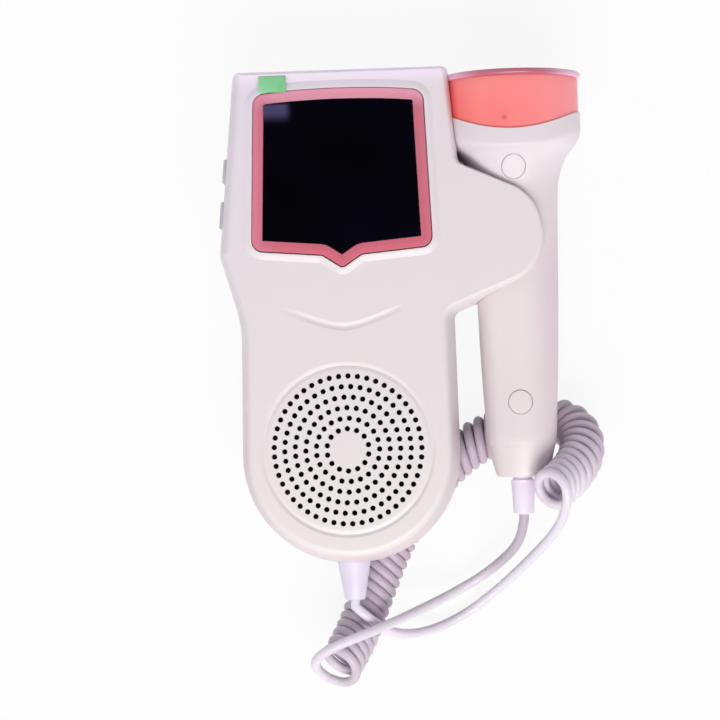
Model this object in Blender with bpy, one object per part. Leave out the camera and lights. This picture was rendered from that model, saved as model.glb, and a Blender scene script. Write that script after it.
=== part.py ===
"""Pocket fetal doppler lying on its back: a hand unit with a side holster, the ultrasound probe held in
the holster, and the curly cord that joins them. Lengths are in metres and +Z points out of the screen.
Places are measured from the speaker's centre line and moved to the rest point on the back at the end."""

import math

import bmesh
import bpy
import numpy as np
from mathutils import Matrix, Vector

# Clearances
FIT = 0.0003
SEAM = 0.0003
REACH = 0.004
WELD = 0.000002

# Hand unit
BODY_HALF_WIDTH = 0.0319
SCREEN_END = 0.1092
BODY_HEIGHT = 0.035
PARTING = 0.020
WALL = 0.0022
EDGE_INSET = 0.0048
THIN_BACK = 0.0135
RAMP_FOOT = 0.038
RAMP_TOP = 0.003
HOLSTER_BACK = 0.0072
HOLSTER_SKIRT_START = 0.030
HOLSTER_SKIRT_MIDDLE = 0.0386
HOLSTER_SKIRT_WIDE = 0.082
HOLSTER_SKIRT_END = 0.096
HOLSTER_SIDE_NEAR = 0.0312
HOLSTER_SIDE_WIDE = 0.0341
HOLSTER_CHAMFER = 0.0032
REST_STRIP = 0.1022

# Screen window
TRIM_HALF_WIDTH = 0.0257
TRIM_STAND = 0.0010
TRIM_TOP = BODY_HEIGHT + TRIM_STAND
TRIM_WIDTH = 0.0030
TRIM_THICKNESS = 0.0021
ISLAND_STAND = 0.0007
ISLAND_TOP = BODY_HEIGHT + ISLAND_STAND
ISLAND_DIP = 0.0004
ISLAND_FOOT = BODY_HEIGHT - ISLAND_DIP
ISLAND_MARGIN = 0.0004
GLASS_DROP = 0.0002
GLASS_TOP = TRIM_TOP - GLASS_DROP
FILM_THICKNESS = 0.0002
FILM_INSET = 0.0015
LCD_HALF_WIDTH = 0.0205
LCD_LOW = 0.061
LCD_HIGH = 0.0985
LCD_THICKNESS = 0.0058
LCD_DROP = 0.0027
LCD_TOP = BODY_HEIGHT - LCD_DROP
LCD_FRAME = 0.0013
TAB_LEFT = -0.0224
TAB_WIDTH = 0.0077
TAB_START = 0.1021
TAB_LENGTH = 0.0052
TAB_DROP = 0.0016

# Speaker and grille
DISH_RADIUS = 0.0238
DISH_DEPTH = 0.0006
RING_PITCH = 0.003
FIRST_RING = 2
LAST_RING = 7
HOLES_A_RING = 7
HOLE_RADIUS = 0.0007
SPEAKER_RADIUS = 0.022
SPEAKER_HEIGHT = 0.0072
SPEAKER_DROP = 0.0036
SPEAKER_TOP = BODY_HEIGHT - SPEAKER_DROP
GASKET_WIDTH = 0.0034
GASKET_THICKNESS = 0.0008
MAGNET_RADIUS = 0.0115
MAGNET_HEIGHT = 0.0061
CHEVRON_Y = 0.0350
CHEVRON_RISE = 0.0052
CHEVRON_HALF = 0.0165
CHEVRON_WIDTH = 0.0012
CHEVRON_DEPTH = 0.0005
CHEVRON_END_DEPTH = 0.00005

# Side buttons
BUTTON_AXIS_HEIGHT = 0.0235
BUTTON_HEIGHT = 0.005
BUTTON_STAND = 0.0007
BUTTON_TRAVEL = 0.0006
BUTTON_LIP = 0.0007
BUTTON_LIP_THICKNESS = 0.0008
BUTTON_STEM = 0.0010
BUTTON_STEM_HALF = 0.0012
SIDE_INSET = 0.00035
SIDE_WALL = 0.0024
POWER_BUTTON_Y = 0.0809
POWER_BUTTON_LENGTH = 0.0070
VOLUME_BUTTON_Y = 0.0683
VOLUME_BUTTON_LENGTH = 0.0078
SWITCH_DEPTH = 0.0055
SWITCH_HALF = 0.003
SWITCH_HEIGHT = 0.0040

# Board and batteries
BOARD_LEFT = -0.0265
BOARD_RIGHT = 0.0205
BOARD_LOW = 0.027
BOARD_HIGH = 0.096
BOARD_THICKNESS = 0.0016
BOARD_BOTTOM = 0.0200
CELL_RADIUS = 0.00725
CELL_LENGTH = 0.0492
CELL_NUB_RADIUS = 0.00275
CELL_NUB = 0.0012
CELL_SPREAD = 0.0077
CELL_START = 0.0454
CELL_AXIS_HEIGHT = 0.0115
SPRING_REACH = 0.0018
SPRING_RADIUS = 0.0035
SPRING_TIP_RADIUS = 0.0018
PLATE_THICKNESS = 0.0006
PLATE_HALF_WIDTH = 0.0145
PLATE_HALF_HEIGHT = 0.0055
BAY_LOW = 0.0424
BAY_HIGH = 0.0970
RIB_THICKNESS = 0.0012
RIB_HALF_WIDTH = 0.030
RIB_FOOT = 0.0042
DOOR_HALF_WIDTH = 0.0167
DOOR_LOW = 0.0362
DOOR_HIGH = 0.0980
DOOR_RECESS = 0.0002
DOOR_THICKNESS = 0.0019
DOOR_FLANGE = 0.0017
DOOR_FLANGE_THICKNESS = 0.0010
DOOR_FLANGE_LOW = 0.0620
DOOR_FLANGE_HIGH = 0.0960
DOOR_TRAVEL = 0.018

# Screws of the hand unit
CASE_BOSS_RADIUS = 0.0034
CASE_BOSS_DROP = 0.0018
CASE_BOSS_TOP = BODY_HEIGHT - CASE_BOSS_DROP
BOSS_RELIEF = 0.0002
CASE_SCREW_DROP = 0.0050
CASE_SCREW_TOP = BODY_HEIGHT - CASE_SCREW_DROP
CASE_SCREW_RADIUS = 0.0011
CASE_HEAD_RADIUS = 0.0023
CASE_HEAD_HEIGHT = 0.0016
CASE_BORE_RADIUS = 0.0026
HIGH_SCREW_X = 0.0245
HIGH_SCREW_Y = 0.1010
LOW_SCREW_X = 0.0190
LOW_SCREW_Y = -0.0190
HIGH_HEAD_BOTTOM = 0.0120
LOW_HEAD_BOTTOM = 0.0158

# Cord gland of the hand unit
BOOT_LENGTH = 0.0114
BOOT_START = -0.0323
BOOT_RADIUS = 0.00475
BOOT_TIP_RADIUS = 0.00295
BOOT_NECK_RADIUS = 0.0027
BOOT_FLANGE_RADIUS = 0.0039
BOOT_FLANGE_THICKNESS = 0.0014
BOOT_NECK_LENGTH = 0.0035

# Probe
PROBE_X = 0.0493
PROBE_HEIGHT = 0.0220
PROBE_WALL = 0.0020
PROBE_REACH = 0.1062
HEAD_RADIUS = 0.0194
HANDLE_FLATNESS = 0.87
BORE_CLEARANCE = 0.00035
COLLAR_RADIUS = 0.0189
COLLAR_DROP = 0.0020
COLLAR_TOP = PROBE_REACH - COLLAR_DROP
COLLAR_LENGTH = 0.0092
COLLAR_WALL = 0.0024
COLLAR_EDGE = COLLAR_TOP - COLLAR_LENGTH
COLLAR_SMILE = 0.0056
FACE_BOTTOM = COLLAR_TOP + FIT
FACE_THICKNESS = 0.0019
FACE_RADIUS = 0.0197
CRYSTAL_RADIUS = 0.0125
CRYSTAL_THICKNESS = 0.0020
CRYSTAL_SPLIT = 0.0008
TAIL_SEAM = -0.0007
TAIL_END = -0.0097
PLUG_RADIUS = 0.0034
PLUG_DEPTH = 0.0022
UPPER_PLUG_DROP = 0.0272
UPPER_PLUG_Y = PROBE_REACH - UPPER_PLUG_DROP
LOWER_PLUG_RISE = 0.0129
LOWER_PLUG_Y = TAIL_SEAM + LOWER_PLUG_RISE
PROBE_BOSS_RADIUS = 0.0044
PROBE_HEAD_RADIUS = 0.0021
PROBE_HEAD_HEIGHT = 0.0014
PROBE_SCREW_RADIUS = 0.0010
PROBE_SCREW_DEPTH = 0.0050
PROBE_BOARD_HALF = 0.0085
PROBE_BOARD_LOW = 0.020
PROBE_BOARD_DROP = 0.0070
PROBE_BOARD_HIGH = UPPER_PLUG_Y - PROBE_BOARD_DROP
PROBE_BOARD_THICKNESS = 0.0014
PROBE_BOOT_RADIUS = 0.00345
PROBE_BOOT_TIP = 0.00295
PROBE_BOOT_LENGTH = 0.0100
PROBE_NECK_RADIUS = 0.0028
PROBE_NECK_LENGTH = 0.0026
PROBE_FLANGE_RADIUS = 0.0042
PROBE_FLANGE_THICKNESS = 0.0012

# Cord
CORD_RADIUS = 0.0014
CURL_RADIUS = 0.0049
CURL_GAP = 0.00056
POINTS_A_CURL = 8
ROUTE_EASE = 0.0040
MOST_BEND = 0.66
LOOSE_CURL = 0.28
LOOSE_TURN = 0.25
LOOSE_PITCH = 0.45
LOOSE_RUN = 0.006
FIRST_ANGLE = math.pi / 2
AXIS_POINTS = 1200
LEAD_STEP = 0.0062

# Faceting
CORNER_STEPS = 7
FEW_STEPS = 2
SMALL_FILLET = 0.005
ROUND_STEPS = 32
SMALL_STEPS = 16
HOLE_STEPS = 5
PROBE_STEPS = 12
SMOOTH_ANGLE = math.radians(35)

# Corners of the outline at the parting plane: across and fillet as shares of the half width, along as
# shares of the distance to the screen end, running anticlockwise from the top left
BODY_CORNER_SHARES = (
    (-0.978, 1.000, 0.078),
    (-1.138, 0.518, 0.125),
    (-0.959, 0.334, 0.940),
    (-1.000, -0.292, 0.975),
    (1.000, -0.292, 0.975),
    (0.972, 0.3535, 0.078),
    (1.890, 0.4597, 0.282),
    (1.743, 0.6538, 0.4075),
    (1.086, 0.739, 0.063),
    (0.992, 1.000, 0.078),
)
# The hollow leaves the holster side solid, in the same shares
HOLLOW_CORNER_SHARES = (
    (-0.978, 1.000, 0.090),
    (-1.138, 0.518, 0.125),
    (-0.959, 0.334, 0.940),
    (-1.000, -0.292, 0.975),
    (1.000, -0.292, 0.975),
    (0.972, 0.3535, 0.400),
    (0.925, 1.000, 0.090),
)
# Inset and height of the moulded side and its rounded edge, as shares of the edge inset and the depth;
# the hollows' heights are shares of the depth less the wall
FRONT_EDGE_SHARES = ((0.0, 0.0), (0.10, 0.33), (0.27, 0.67), (0.46, 0.887), (0.67, 0.973), (1.0, 1.0))
BACK_EDGE_SHARES = ((0.0, 0.0), (0.13, 0.40), (0.29, 0.77), (0.54, 0.94), (0.92, 1.0))
FRONT_HOLLOW_SHARES = ((0.46, -0.08), (0.60, 0.47), (0.85, 0.904), (1.15, 1.0))
BACK_HOLLOW_SHARES = ((0.46, -0.06), (0.58, 0.45), (0.79, 0.87), (1.15, 1.0))
# Where each ring of grille holes starts, as a share of the step between its holes
RING_TURN_SHARES = (0.0, 0.24, 0.0, -0.27, 0.48, 0.22)
# Corners of the screen trim: shares of its half width, measured from the speaker's centre
TRIM_CORNER_SHARES = (
    (-0.938, 3.949, 0.12),
    (-1.000, 2.230, 0.12),
    (-0.218, 2.163, 0.10),
    (0.000, 2.019, 0.05),
    (0.218, 2.163, 0.10),
    (1.000, 2.230, 0.12),
    (0.938, 3.949, 0.12),
    (0.000, 4.058, 7.20),
)
ISLAND_CORNER_SHARES = (
    (-1.082, 4.043, 0.10),
    (-1.128, 2.124, 0.16),
    (-0.253, 2.058, 0.12),
    (0.000, 1.903, 0.08),
    (0.253, 2.058, 0.12),
    (1.128, 2.124, 0.16),
    (1.082, 4.043, 0.10),
    (0.000, 4.128, 9.00),
)
# Probe outline: distance along from the speaker's centre as shares of the probe's reach, half width as
# shares of the head radius
HANDLE_SHARES = (
    (-0.0075, 0.492),
    (0.024, 0.521),
    (0.094, 0.536),
    (0.202, 0.567),
    (0.372, 0.598),
    (0.546, 0.619),
    (0.683, 0.639),
    (0.725, 0.675),
    (0.763, 0.747),
    (0.787, 0.835),
    (0.810, 0.933),
    (0.833, 0.985),
    (0.857, 1.000),
    (0.900, 1.000),
)
TAIL_SHARES = ((0.0, 0.356), (0.09, 0.397), (0.52, 0.438), (1.0, 0.490))
FLAT_END_SHARE = 0.683
ROUND_START_SHARE = 0.857
# Turned outlines as shares of their radius and height
FRAME_SHARES = (
    (0.845, 0.93),
    (0.845, 1.0),
    (1.0, 1.0),
    (1.0, 0.86),
    (0.890, 0.86),
    (0.573, 0.0),
    (0.410, 0.0),
    (0.410, 0.125),
    (0.555, 0.125),
)
CONE_SHARES = (
    (0.0, 0.556),
    (0.205, 0.417),
    (0.270, 0.361),
    (0.800, 0.986),
    (0.814, 0.917),
    (0.282, 0.236),
    (0.205, 0.333),
    (0.0, 0.472),
)
FACE_SHARES = ((0.0, 0.0), (0.965, 0.0), (1.0, 0.36), (0.99, 0.80), (0.95, 1.0), (0.0, 1.0))

# Hand-chosen routes in millimetres from the speaker's centre line and the table
MM = 0.001
COIL_ROUTE_MM = (
    (-5.4, -62.8, 20.8),
    (-3.6, -59.8, 18.0),
    (-1.6, -56.6, 15.2),
    (0.7, -51.8, 12.0),
    (3.6, -44.2, 8.8),
    (7.9, -33.5, 6.9),
    (12.9, -23.3, 6.55),
    (20.2, -12.6, 6.55),
    (27.7, -5.0, 6.55),
    (34.6, 0.4, 6.55),
    (41.7, 3.8, 6.55),
    (49.1, 6.4, 6.55),
    (56.1, 7.3, 6.7),
    (60.8, 6.8, 8.0),
    (64.3, 5.1, 10.4),
    (66.4, 2.3, 13.7),
    (67.0, -0.9, 17.4),
    (66.3, -4.1, 21.2),
    (64.5, -7.1, 24.6),
    (62.0, -9.8, 27.9),
    (59.3, -11.9, 31.2),
    (57.2, -13.2, 34.6),
)
UNIT_LEAD_ROUTE_MM = (
    (60.4, -21.3, 27.4),
    (57.9, -25.6, 22.0),
    (54.6, -29.1, 17.2),
    (51.7, -32.3, 13.2),
    (45.6, -38.1, 8.0),
    (39.6, -43.3, 4.6),
    (33.4, -48.0, 2.5),
    (27.2, -51.5, 2.3),
    (21.1, -53.8, 3.8),
    (15.1, -54.6, 8.2),
    (11.1, -53.8, 12.8),
    (8.1, -52.4, 16.6),
    (5.8, -50.6, 18.9),
    (3.6, -48.7, 19.9),
    (1.5, -47.1, 20.1),
)
PROBE_LEAD_ROUTE_MM = (
    (48.4, -26.6, 19.2),
    (46.2, -30.0, 14.4),
    (42.4, -33.7, 9.4),
    (36.7, -38.1, 5.2),
    (30.6, -41.6, 4.6),
    (24.7, -44.4, 7.4),
    (18.9, -46.9, 12.4),
    (13.3, -49.2, 17.4),
    (7.5, -51.5, 21.4),
    (1.3, -53.6, 24.0),
    (-4.5, -55.8, 25.2),
    (-9.9, -58.2, 24.4),
    (-12.5, -60.0, 22.2),
    (-13.3, -62.3, 19.9),
)

REST_POINT = Vector((0.0, REST_STRIP, 0.0))


# Scene and materials


def clear_scene():
    for item in list(bpy.data.objects):
        bpy.data.objects.remove(item, do_unlink=True)


def make_material(name, colour, roughness, metallic=0.0, alpha=1.0):
    material = bpy.data.materials.new(name)
    material.use_nodes = True
    shader = material.node_tree.nodes["Principled BSDF"]
    shader.inputs["Base Color"].default_value = (*colour, 1.0)
    shader.inputs["Roughness"].default_value = roughness
    shader.inputs["Metallic"].default_value = metallic
    shader.inputs["Alpha"].default_value = alpha
    material.diffuse_color = (*colour, alpha)
    return material


def material_for(name, base, roughness, metallic=0.0, alpha=1.0):
    return make_material(f"{name}_material", base, roughness, metallic, alpha)


# Meshes


def finish(name, bm, material=None):
    bmesh.ops.translate(bm, vec=-REST_POINT, verts=bm.verts)
    bmesh.ops.recalc_face_normals(bm, faces=bm.faces)
    if bm.calc_volume(signed=True) < 0:
        bmesh.ops.reverse_faces(bm, faces=bm.faces)
    mesh = bpy.data.meshes.new(name)
    bm.to_mesh(mesh)
    bm.free()
    obj = bpy.data.objects.new(name, mesh)
    bpy.context.scene.collection.objects.link(obj)
    if material is not None:
        mesh.materials.append(material)
        smooth(mesh)
    return obj


def smooth(mesh):
    mesh.shade_smooth()
    mesh.set_sharp_from_angle(angle=SMOOTH_ANGLE)


def combine(target, tool, operation):
    """Applies an exact Boolean of the tool to the target and removes the tool."""
    modifier = target.modifiers.new("combine", "BOOLEAN")
    modifier.operation = operation
    modifier.solver = "EXACT"
    modifier.object = tool
    graph = bpy.context.evaluated_depsgraph_get()
    mesh = bpy.data.meshes.new_from_object(target.evaluated_get(graph))
    target.modifiers.clear()
    weld(mesh)
    old = target.data
    target.data = mesh
    mesh.name = target.name
    bpy.data.meshes.remove(old)
    bpy.data.objects.remove(tool, do_unlink=True)


def weld(mesh):
    bm = bmesh.new()
    bm.from_mesh(mesh)
    bmesh.ops.remove_doubles(bm, verts=bm.verts, dist=WELD)
    bmesh.ops.dissolve_degenerate(bm, edges=bm.edges, dist=WELD)
    bm.to_mesh(mesh)
    bm.free()


def cut(target, tool):
    combine(target, tool, "DIFFERENCE")


def join(target, tool):
    combine(target, tool, "UNION")


def keep_within(target, tool):
    combine(target, tool, "INTERSECT")


def ring_verts(bm, points):
    return [bm.verts.new(point) for point in points]


def bridge(bm, lower, upper):
    count = len(lower)
    for i in range(count):
        j = (i + 1) % count
        bm.faces.new((lower[i], lower[j], upper[j], upper[i]))


def loft(rings, closed=False, folded=False):
    """Solid through equal rings of points; closed joins the last ring back to the first. Folded rings run
    along an arc and back along a second one, and their ends are closed by a strip between the two."""
    bm = bmesh.new()
    loops = [ring_verts(bm, ring) for ring in rings]
    for lower, upper in zip(loops, loops[1:]):
        bridge(bm, lower, upper)
    if closed:
        bridge(bm, loops[-1], loops[0])
    elif folded:
        close_strip(bm, loops[0][::-1])
        close_strip(bm, loops[-1])
    else:
        bm.faces.new(list(reversed(loops[0])))
        bm.faces.new(loops[-1])
    return bm


def close_strip(bm, ring):
    for i in range(len(ring) // 2 - 1):
        bm.faces.new((ring[i], ring[i + 1], ring[-2 - i], ring[-1 - i]))


def box(low, high):
    bm = bmesh.new()
    bmesh.ops.create_cube(bm, size=1.0)
    size = Vector(high) - Vector(low)
    middle = (Vector(high) + Vector(low)) / 2
    bmesh.ops.scale(bm, vec=size, verts=bm.verts)
    bmesh.ops.translate(bm, vec=middle, verts=bm.verts)
    return bm


def turned(profile, centre, along, steps):
    """Turns (radius, distance) points about the line through centre; radius zero closes on the axis."""
    along = Vector(along).normalized()
    side = along.orthogonal().normalized()
    other = along.cross(side)
    bm = bmesh.new()
    loops = []
    for radius, distance in profile:
        base = Vector(centre) + along * distance
        if radius == 0:
            loops.append([bm.verts.new(base)] * steps)
            continue
        turns = [2 * math.pi * i / steps for i in range(steps)]
        ring = [base + (side * math.cos(a) + other * math.sin(a)) * radius for a in turns]
        loops.append(ring_verts(bm, ring))
    pairs = list(zip(loops, loops[1:]))
    if profile[0][0] != 0:
        pairs.append((loops[-1], loops[0]))
    for lower, upper in pairs:
        for i in range(steps):
            j = (i + 1) % steps
            corners = list(dict.fromkeys((lower[i], lower[j], upper[j], upper[i])))
            if len(corners) > 2:
                bm.faces.new(corners)
    return bm


def cylinder(radius, start, end, steps):
    start, end = Vector(start), Vector(end)
    length = (end - start).length
    return turned(((0, 0), (radius, 0), (radius, length), (0, length)), start, end - start, steps)


# Rounded outlines


def edge_lines(corners, inset):
    """Straight sides of an anticlockwise outline, each moved inwards."""
    lines = []
    for i, start in enumerate(corners):
        end = corners[(i + 1) % len(corners)]
        along = Vector((end[0] - start[0], end[1] - start[1])).normalized()
        inwards = Vector((-along.y, along.x))
        lines.append((Vector(start[:2]) + inwards * inset, along))
    return lines


def crossing(first, second):
    (p, d), (q, e) = first, second
    return p + d * ((q - p).cross(e) / d.cross(e))


def rounded_outline(corners, inset):
    """Outline with filleted corners, (across, along, fillet) each, drawn inwards by inset."""
    lines = edge_lines(corners, inset)
    points = []
    for i, corner in enumerate(corners):
        before, after = lines[i - 1], lines[i]
        tip = crossing(before, after)
        turn = math.atan2(before[1].cross(after[1]), before[1].dot(after[1]))
        radius = max(corner[2] - inset, FIT) if turn > 0 else corner[2] + inset
        start = tip - before[1] * radius * math.tan(abs(turn) / 2)
        side = math.copysign(1.0, turn)
        centre = start + Vector((-before[1].y, before[1].x)) * radius * side
        first = start - centre
        steps = CORNER_STEPS if corner[2] > SMALL_FILLET else FEW_STEPS
        for k in range(steps + 1):
            points.append(centre + Matrix.Rotation(turn * k / steps, 2) @ first)
    return points


def corners_from(shares, across, along):
    return [(x * across, y * along, r * across) for x, y, r in shares]


def raised(outline, height):
    return [(p.x, p.y, height) for p in outline]


def outline_loft(corners, levels):
    """Solid through the outline at (inset, height) levels."""
    return loft([raised(rounded_outline(corners, inset), height) for inset, height in levels])


def body_corners():
    return corners_from(BODY_CORNER_SHARES, BODY_HALF_WIDTH, SCREEN_END)


def hollow_corners():
    return corners_from(HOLLOW_CORNER_SHARES, BODY_HALF_WIDTH, SCREEN_END)


def trim_corners():
    return corners_from(TRIM_CORNER_SHARES, TRIM_HALF_WIDTH, TRIM_HALF_WIDTH)


# Probe outline


def handle_outline():
    """Distance along and half width at each station of the probe's outline."""
    return [(along * PROBE_REACH, width * HEAD_RADIUS) for along, width in HANDLE_SHARES]


def half_width(y):
    along, widths = zip(*handle_outline())
    return float(np.interp(y, along, widths))


def flatness(y):
    """Thickness over width of the probe's section: an oval handle that turns into a round head."""
    flat_end, round_start = FLAT_END_SHARE * PROBE_REACH, ROUND_START_SHARE * PROBE_REACH
    part = min(max((y - flat_end) / (round_start - flat_end), 0.0), 1.0)
    return HANDLE_FLATNESS + (1.0 - HANDLE_FLATNESS) * part * part * (3.0 - 2.0 * part)


def oval(y, width, height, steps):
    turns = [2 * math.pi * i / steps for i in range(steps)]
    return [(PROBE_X + width * math.cos(a), y, PROBE_HEIGHT + height * math.sin(a)) for a in turns]


def handle_stations():
    return [along for along, _ in handle_outline()]


def probe_bore():
    """The room that the probe needs in the holster, open along the way it slides out."""
    rings = []
    for y in handle_stations():
        width = half_width(y) + BORE_CLEARANCE
        rings.append(oval(y, width, half_width(y) * flatness(y) + BORE_CLEARANCE, ROUND_STEPS))
    wide = HEAD_RADIUS + BORE_CLEARANCE
    rings.append(oval(SCREEN_END + REACH, wide, wide, ROUND_STEPS))
    return finish("probe_bore", loft(rings))


# Front shell


def front_shell(material):
    depth = BODY_HEIGHT - PARTING - SEAM / 2
    base = PARTING + SEAM / 2
    levels = [(EDGE_INSET * i, base + depth * h) for i, h in FRONT_EDGE_SHARES]
    shell = finish("front_shell", outline_loft(body_corners(), levels), material)
    inner_depth = depth - WALL
    levels = [(EDGE_INSET * i, base + inner_depth * h) for i, h in FRONT_HOLLOW_SHARES]
    cut(shell, finish("hollow", outline_loft(hollow_corners(), levels)))
    add_island(shell)
    for x, y, _ in screw_places():
        boss = cylinder(CASE_BOSS_RADIUS, (x, y, base + BOSS_RELIEF), (x, y, CASE_BOSS_TOP), SMALL_STEPS)
        join(shell, finish("boss", boss))
    cut(shell, probe_bore())
    cut_window(shell)
    cut_grille(shell)
    cut_chevron(shell)
    for y, length in button_places():
        cut(shell, finish("button_hole", button_hole(y, length)))
    cut(shell, gland_hole())
    for place in screw_places():
        cut(shell, screw_hole(place))
    smooth(shell.data)
    return shell


def add_island(shell):
    """The low raised field that carries the screen trim."""
    corners = corners_from(ISLAND_CORNER_SHARES, TRIM_HALF_WIDTH, TRIM_HALF_WIDTH)
    foot = raised(rounded_outline(corners, 0.0), ISLAND_FOOT)
    top = raised(rounded_outline(trim_corners(), -ISLAND_MARGIN), ISLAND_TOP)
    join(shell, finish("island", loft([foot, top])))


def cut_window(shell):
    floor = TRIM_TOP - TRIM_THICKNESS - FIT
    levels = ((-FIT, floor), (-FIT, TRIM_TOP + REACH))
    cut(shell, finish("pocket", outline_loft(trim_corners(), levels)))
    low = (-LCD_HALF_WIDTH + LCD_FRAME, LCD_LOW + LCD_FRAME, LCD_TOP - LCD_FRAME)
    high = (LCD_HALF_WIDTH - LCD_FRAME, LCD_HIGH - LCD_FRAME, TRIM_TOP)
    cut(shell, finish("lcd_opening", box(low, high)))


def cut_grille(shell):
    """The speaker dish with its rings of round holes, seven more in each ring than in the one inside it."""
    floor = BODY_HEIGHT - DISH_DEPTH
    dish = cylinder(DISH_RADIUS, (0, 0, floor), (0, 0, BODY_HEIGHT + REACH), ROUND_STEPS)
    cut(shell, finish("dish", dish))
    holes = bmesh.new()
    low = BODY_HEIGHT - REACH
    for ring, turned_by in zip(range(FIRST_RING, LAST_RING + 1), RING_TURN_SHARES):
        count = HOLES_A_RING * ring
        for i in range(count):
            turn = math.pi / 2 - 2 * math.pi * (i + turned_by) / count
            x, y = ring * RING_PITCH * math.cos(turn), ring * RING_PITCH * math.sin(turn)
            add_hole(holes, x, y, low, BODY_HEIGHT + REACH)
    cut(shell, finish("grille_holes", holes))


def add_hole(bm, x, y, low, high):
    turns = [2 * math.pi * k / HOLE_STEPS for k in range(HOLE_STEPS)]
    ring = [(x + HOLE_RADIUS * math.cos(a), y + HOLE_RADIUS * math.sin(a)) for a in turns]
    lower = ring_verts(bm, [(px, py, low) for px, py in ring])
    upper = ring_verts(bm, [(px, py, high) for px, py in ring])
    bridge(bm, lower, upper)
    bm.faces.new(list(reversed(lower)))
    bm.faces.new(upper)


def cut_chevron(shell):
    """A shallow vee crease between the screen and the grille."""
    end = (CHEVRON_RISE, CHEVRON_END_DEPTH)
    places = ((-CHEVRON_HALF, *end), (0.0, 0.0, CHEVRON_DEPTH), (CHEVRON_HALF, *end))
    half = CHEVRON_WIDTH / 2
    top = BODY_HEIGHT + REACH
    rings = []
    for x, rise, depth in places:
        y = CHEVRON_Y + rise
        bottom = BODY_HEIGHT - depth
        rings.append([(x, y - half, bottom), (x, y + half, bottom), (x, y + half, top), (x, y - half, top)])
    cut(shell, finish("chevron", loft(rings)))


# Back shell


def back_depth(y):
    """Depth of the hand unit behind its parting plane: thick under the batteries, thin at the speaker."""
    part = min(max((RAMP_FOOT - y) / (RAMP_FOOT - RAMP_TOP), 0.0), 1.0)
    return PARTING - SEAM / 2 - THIN_BACK * part


def bend_back(bm, thickness):
    """Divides the solid at the ramp's two lines and lifts its back to follow the ramp."""
    for y in (RAMP_FOOT, RAMP_TOP):
        geometry = bm.verts[:] + bm.edges[:] + bm.faces[:]
        bmesh.ops.bisect_plane(bm, geom=geometry, plane_co=(0, y, 0), plane_no=(0, 1, 0))
    base = PARTING - SEAM / 2
    full = base - thickness
    for vert in bm.verts:
        vert.co.z = base - (base - vert.co.z) * (back_depth(vert.co.y) - thickness) / full
    bmesh.ops.triangulate(bm, faces=bm.faces[:])


def back_shell(material):
    base = PARTING - SEAM / 2
    outer = outline_loft(body_corners(), [(EDGE_INSET * i, base * (1 - h)) for i, h in BACK_EDGE_SHARES])
    bend_back(outer, 0.0)
    shell = finish("back_shell", outer, material)
    depth = base - WALL
    levels = [(EDGE_INSET * i, base - depth * h) for i, h in BACK_HOLLOW_SHARES]
    hollow = outline_loft(hollow_corners(), levels)
    bend_back(hollow, WALL)
    cut(shell, finish("hollow", hollow))
    cut(shell, holster_skirt())
    for y in (BAY_LOW - RIB_THICKNESS, BAY_HIGH):
        low = (-RIB_HALF_WIDTH, y, RIB_FOOT)
        high = (RIB_HALF_WIDTH, y + RIB_THICKNESS, base - BOSS_RELIEF)
        join(shell, finish("rib", box(low, high)))
    for x, y, head in screw_places():
        bottom = back_depth(y)
        foot = base - bottom + WALL / 2
        boss = cylinder(CASE_BOSS_RADIUS, (x, y, foot), (x, y, base - BOSS_RELIEF), SMALL_STEPS)
        join(shell, finish("boss", boss))
    cut(shell, probe_bore())
    cut(shell, gland_hole())
    for place in screw_places():
        cut(shell, screw_hole(place))
    low = (-DOOR_HALF_WIDTH - FIT, RAMP_FOOT - REACH - REACH, -REACH)
    high = (DOOR_HALF_WIDTH + FIT, DOOR_HIGH + FIT, WALL + FIT)
    cut(shell, finish("door_opening", box(low, high)))
    smooth(shell.data)
    return shell


def holster_skirt():
    """Cutter that lifts the holster's back above the table and leaves the battery side full depth."""
    stations = (
        (HOLSTER_SKIRT_START, HOLSTER_SIDE_NEAR),
        (HOLSTER_SKIRT_MIDDLE, HOLSTER_SIDE_NEAR),
        (HOLSTER_SKIRT_WIDE, HOLSTER_SIDE_WIDE),
        (HOLSTER_SKIRT_END, HOLSTER_SIDE_WIDE),
    )
    far = PROBE_X + HEAD_RADIUS
    rings = []
    for y, side in stations:
        foot = side - HOLSTER_CHAMFER
        rings.append([(foot, y, -REACH), (far, y, -REACH), (far, y, HOLSTER_BACK), (side, y, HOLSTER_BACK)])
    return finish("holster_skirt", loft(rings))


# Screws of the hand unit


def screw_places():
    """Across, along and bottom of the head of each case screw."""
    return (
        (-HIGH_SCREW_X, HIGH_SCREW_Y, HIGH_HEAD_BOTTOM),
        (HIGH_SCREW_X, HIGH_SCREW_Y, HIGH_HEAD_BOTTOM),
        (-LOW_SCREW_X, LOW_SCREW_Y, LOW_HEAD_BOTTOM),
        (LOW_SCREW_X, LOW_SCREW_Y, LOW_HEAD_BOTTOM),
    )


def screw_hole(place):
    x, y, head = place
    seat = head + CASE_HEAD_HEIGHT + FIT
    shank = CASE_SCREW_RADIUS + FIT
    top = CASE_SCREW_TOP + FIT
    profile = ((0, -REACH), (CASE_BORE_RADIUS, -REACH), (CASE_BORE_RADIUS, seat), (shank, seat))
    profile = (*profile, (shank, top), (0, top))
    return finish("screw_hole", turned(profile, (x, y, 0), (0, 0, 1), SMALL_STEPS))


def case_screw(name, place, material):
    x, y, head = place
    neck = head + CASE_HEAD_HEIGHT
    profile = ((0, head), (CASE_HEAD_RADIUS, head), (CASE_HEAD_RADIUS, neck), (CASE_SCREW_RADIUS, neck))
    profile = (*profile, (CASE_SCREW_RADIUS, CASE_SCREW_TOP), (0, CASE_SCREW_TOP))
    return finish(name, turned(profile, (x, y, 0), (0, 0, 1), SMALL_STEPS), material)


# Screen


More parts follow.
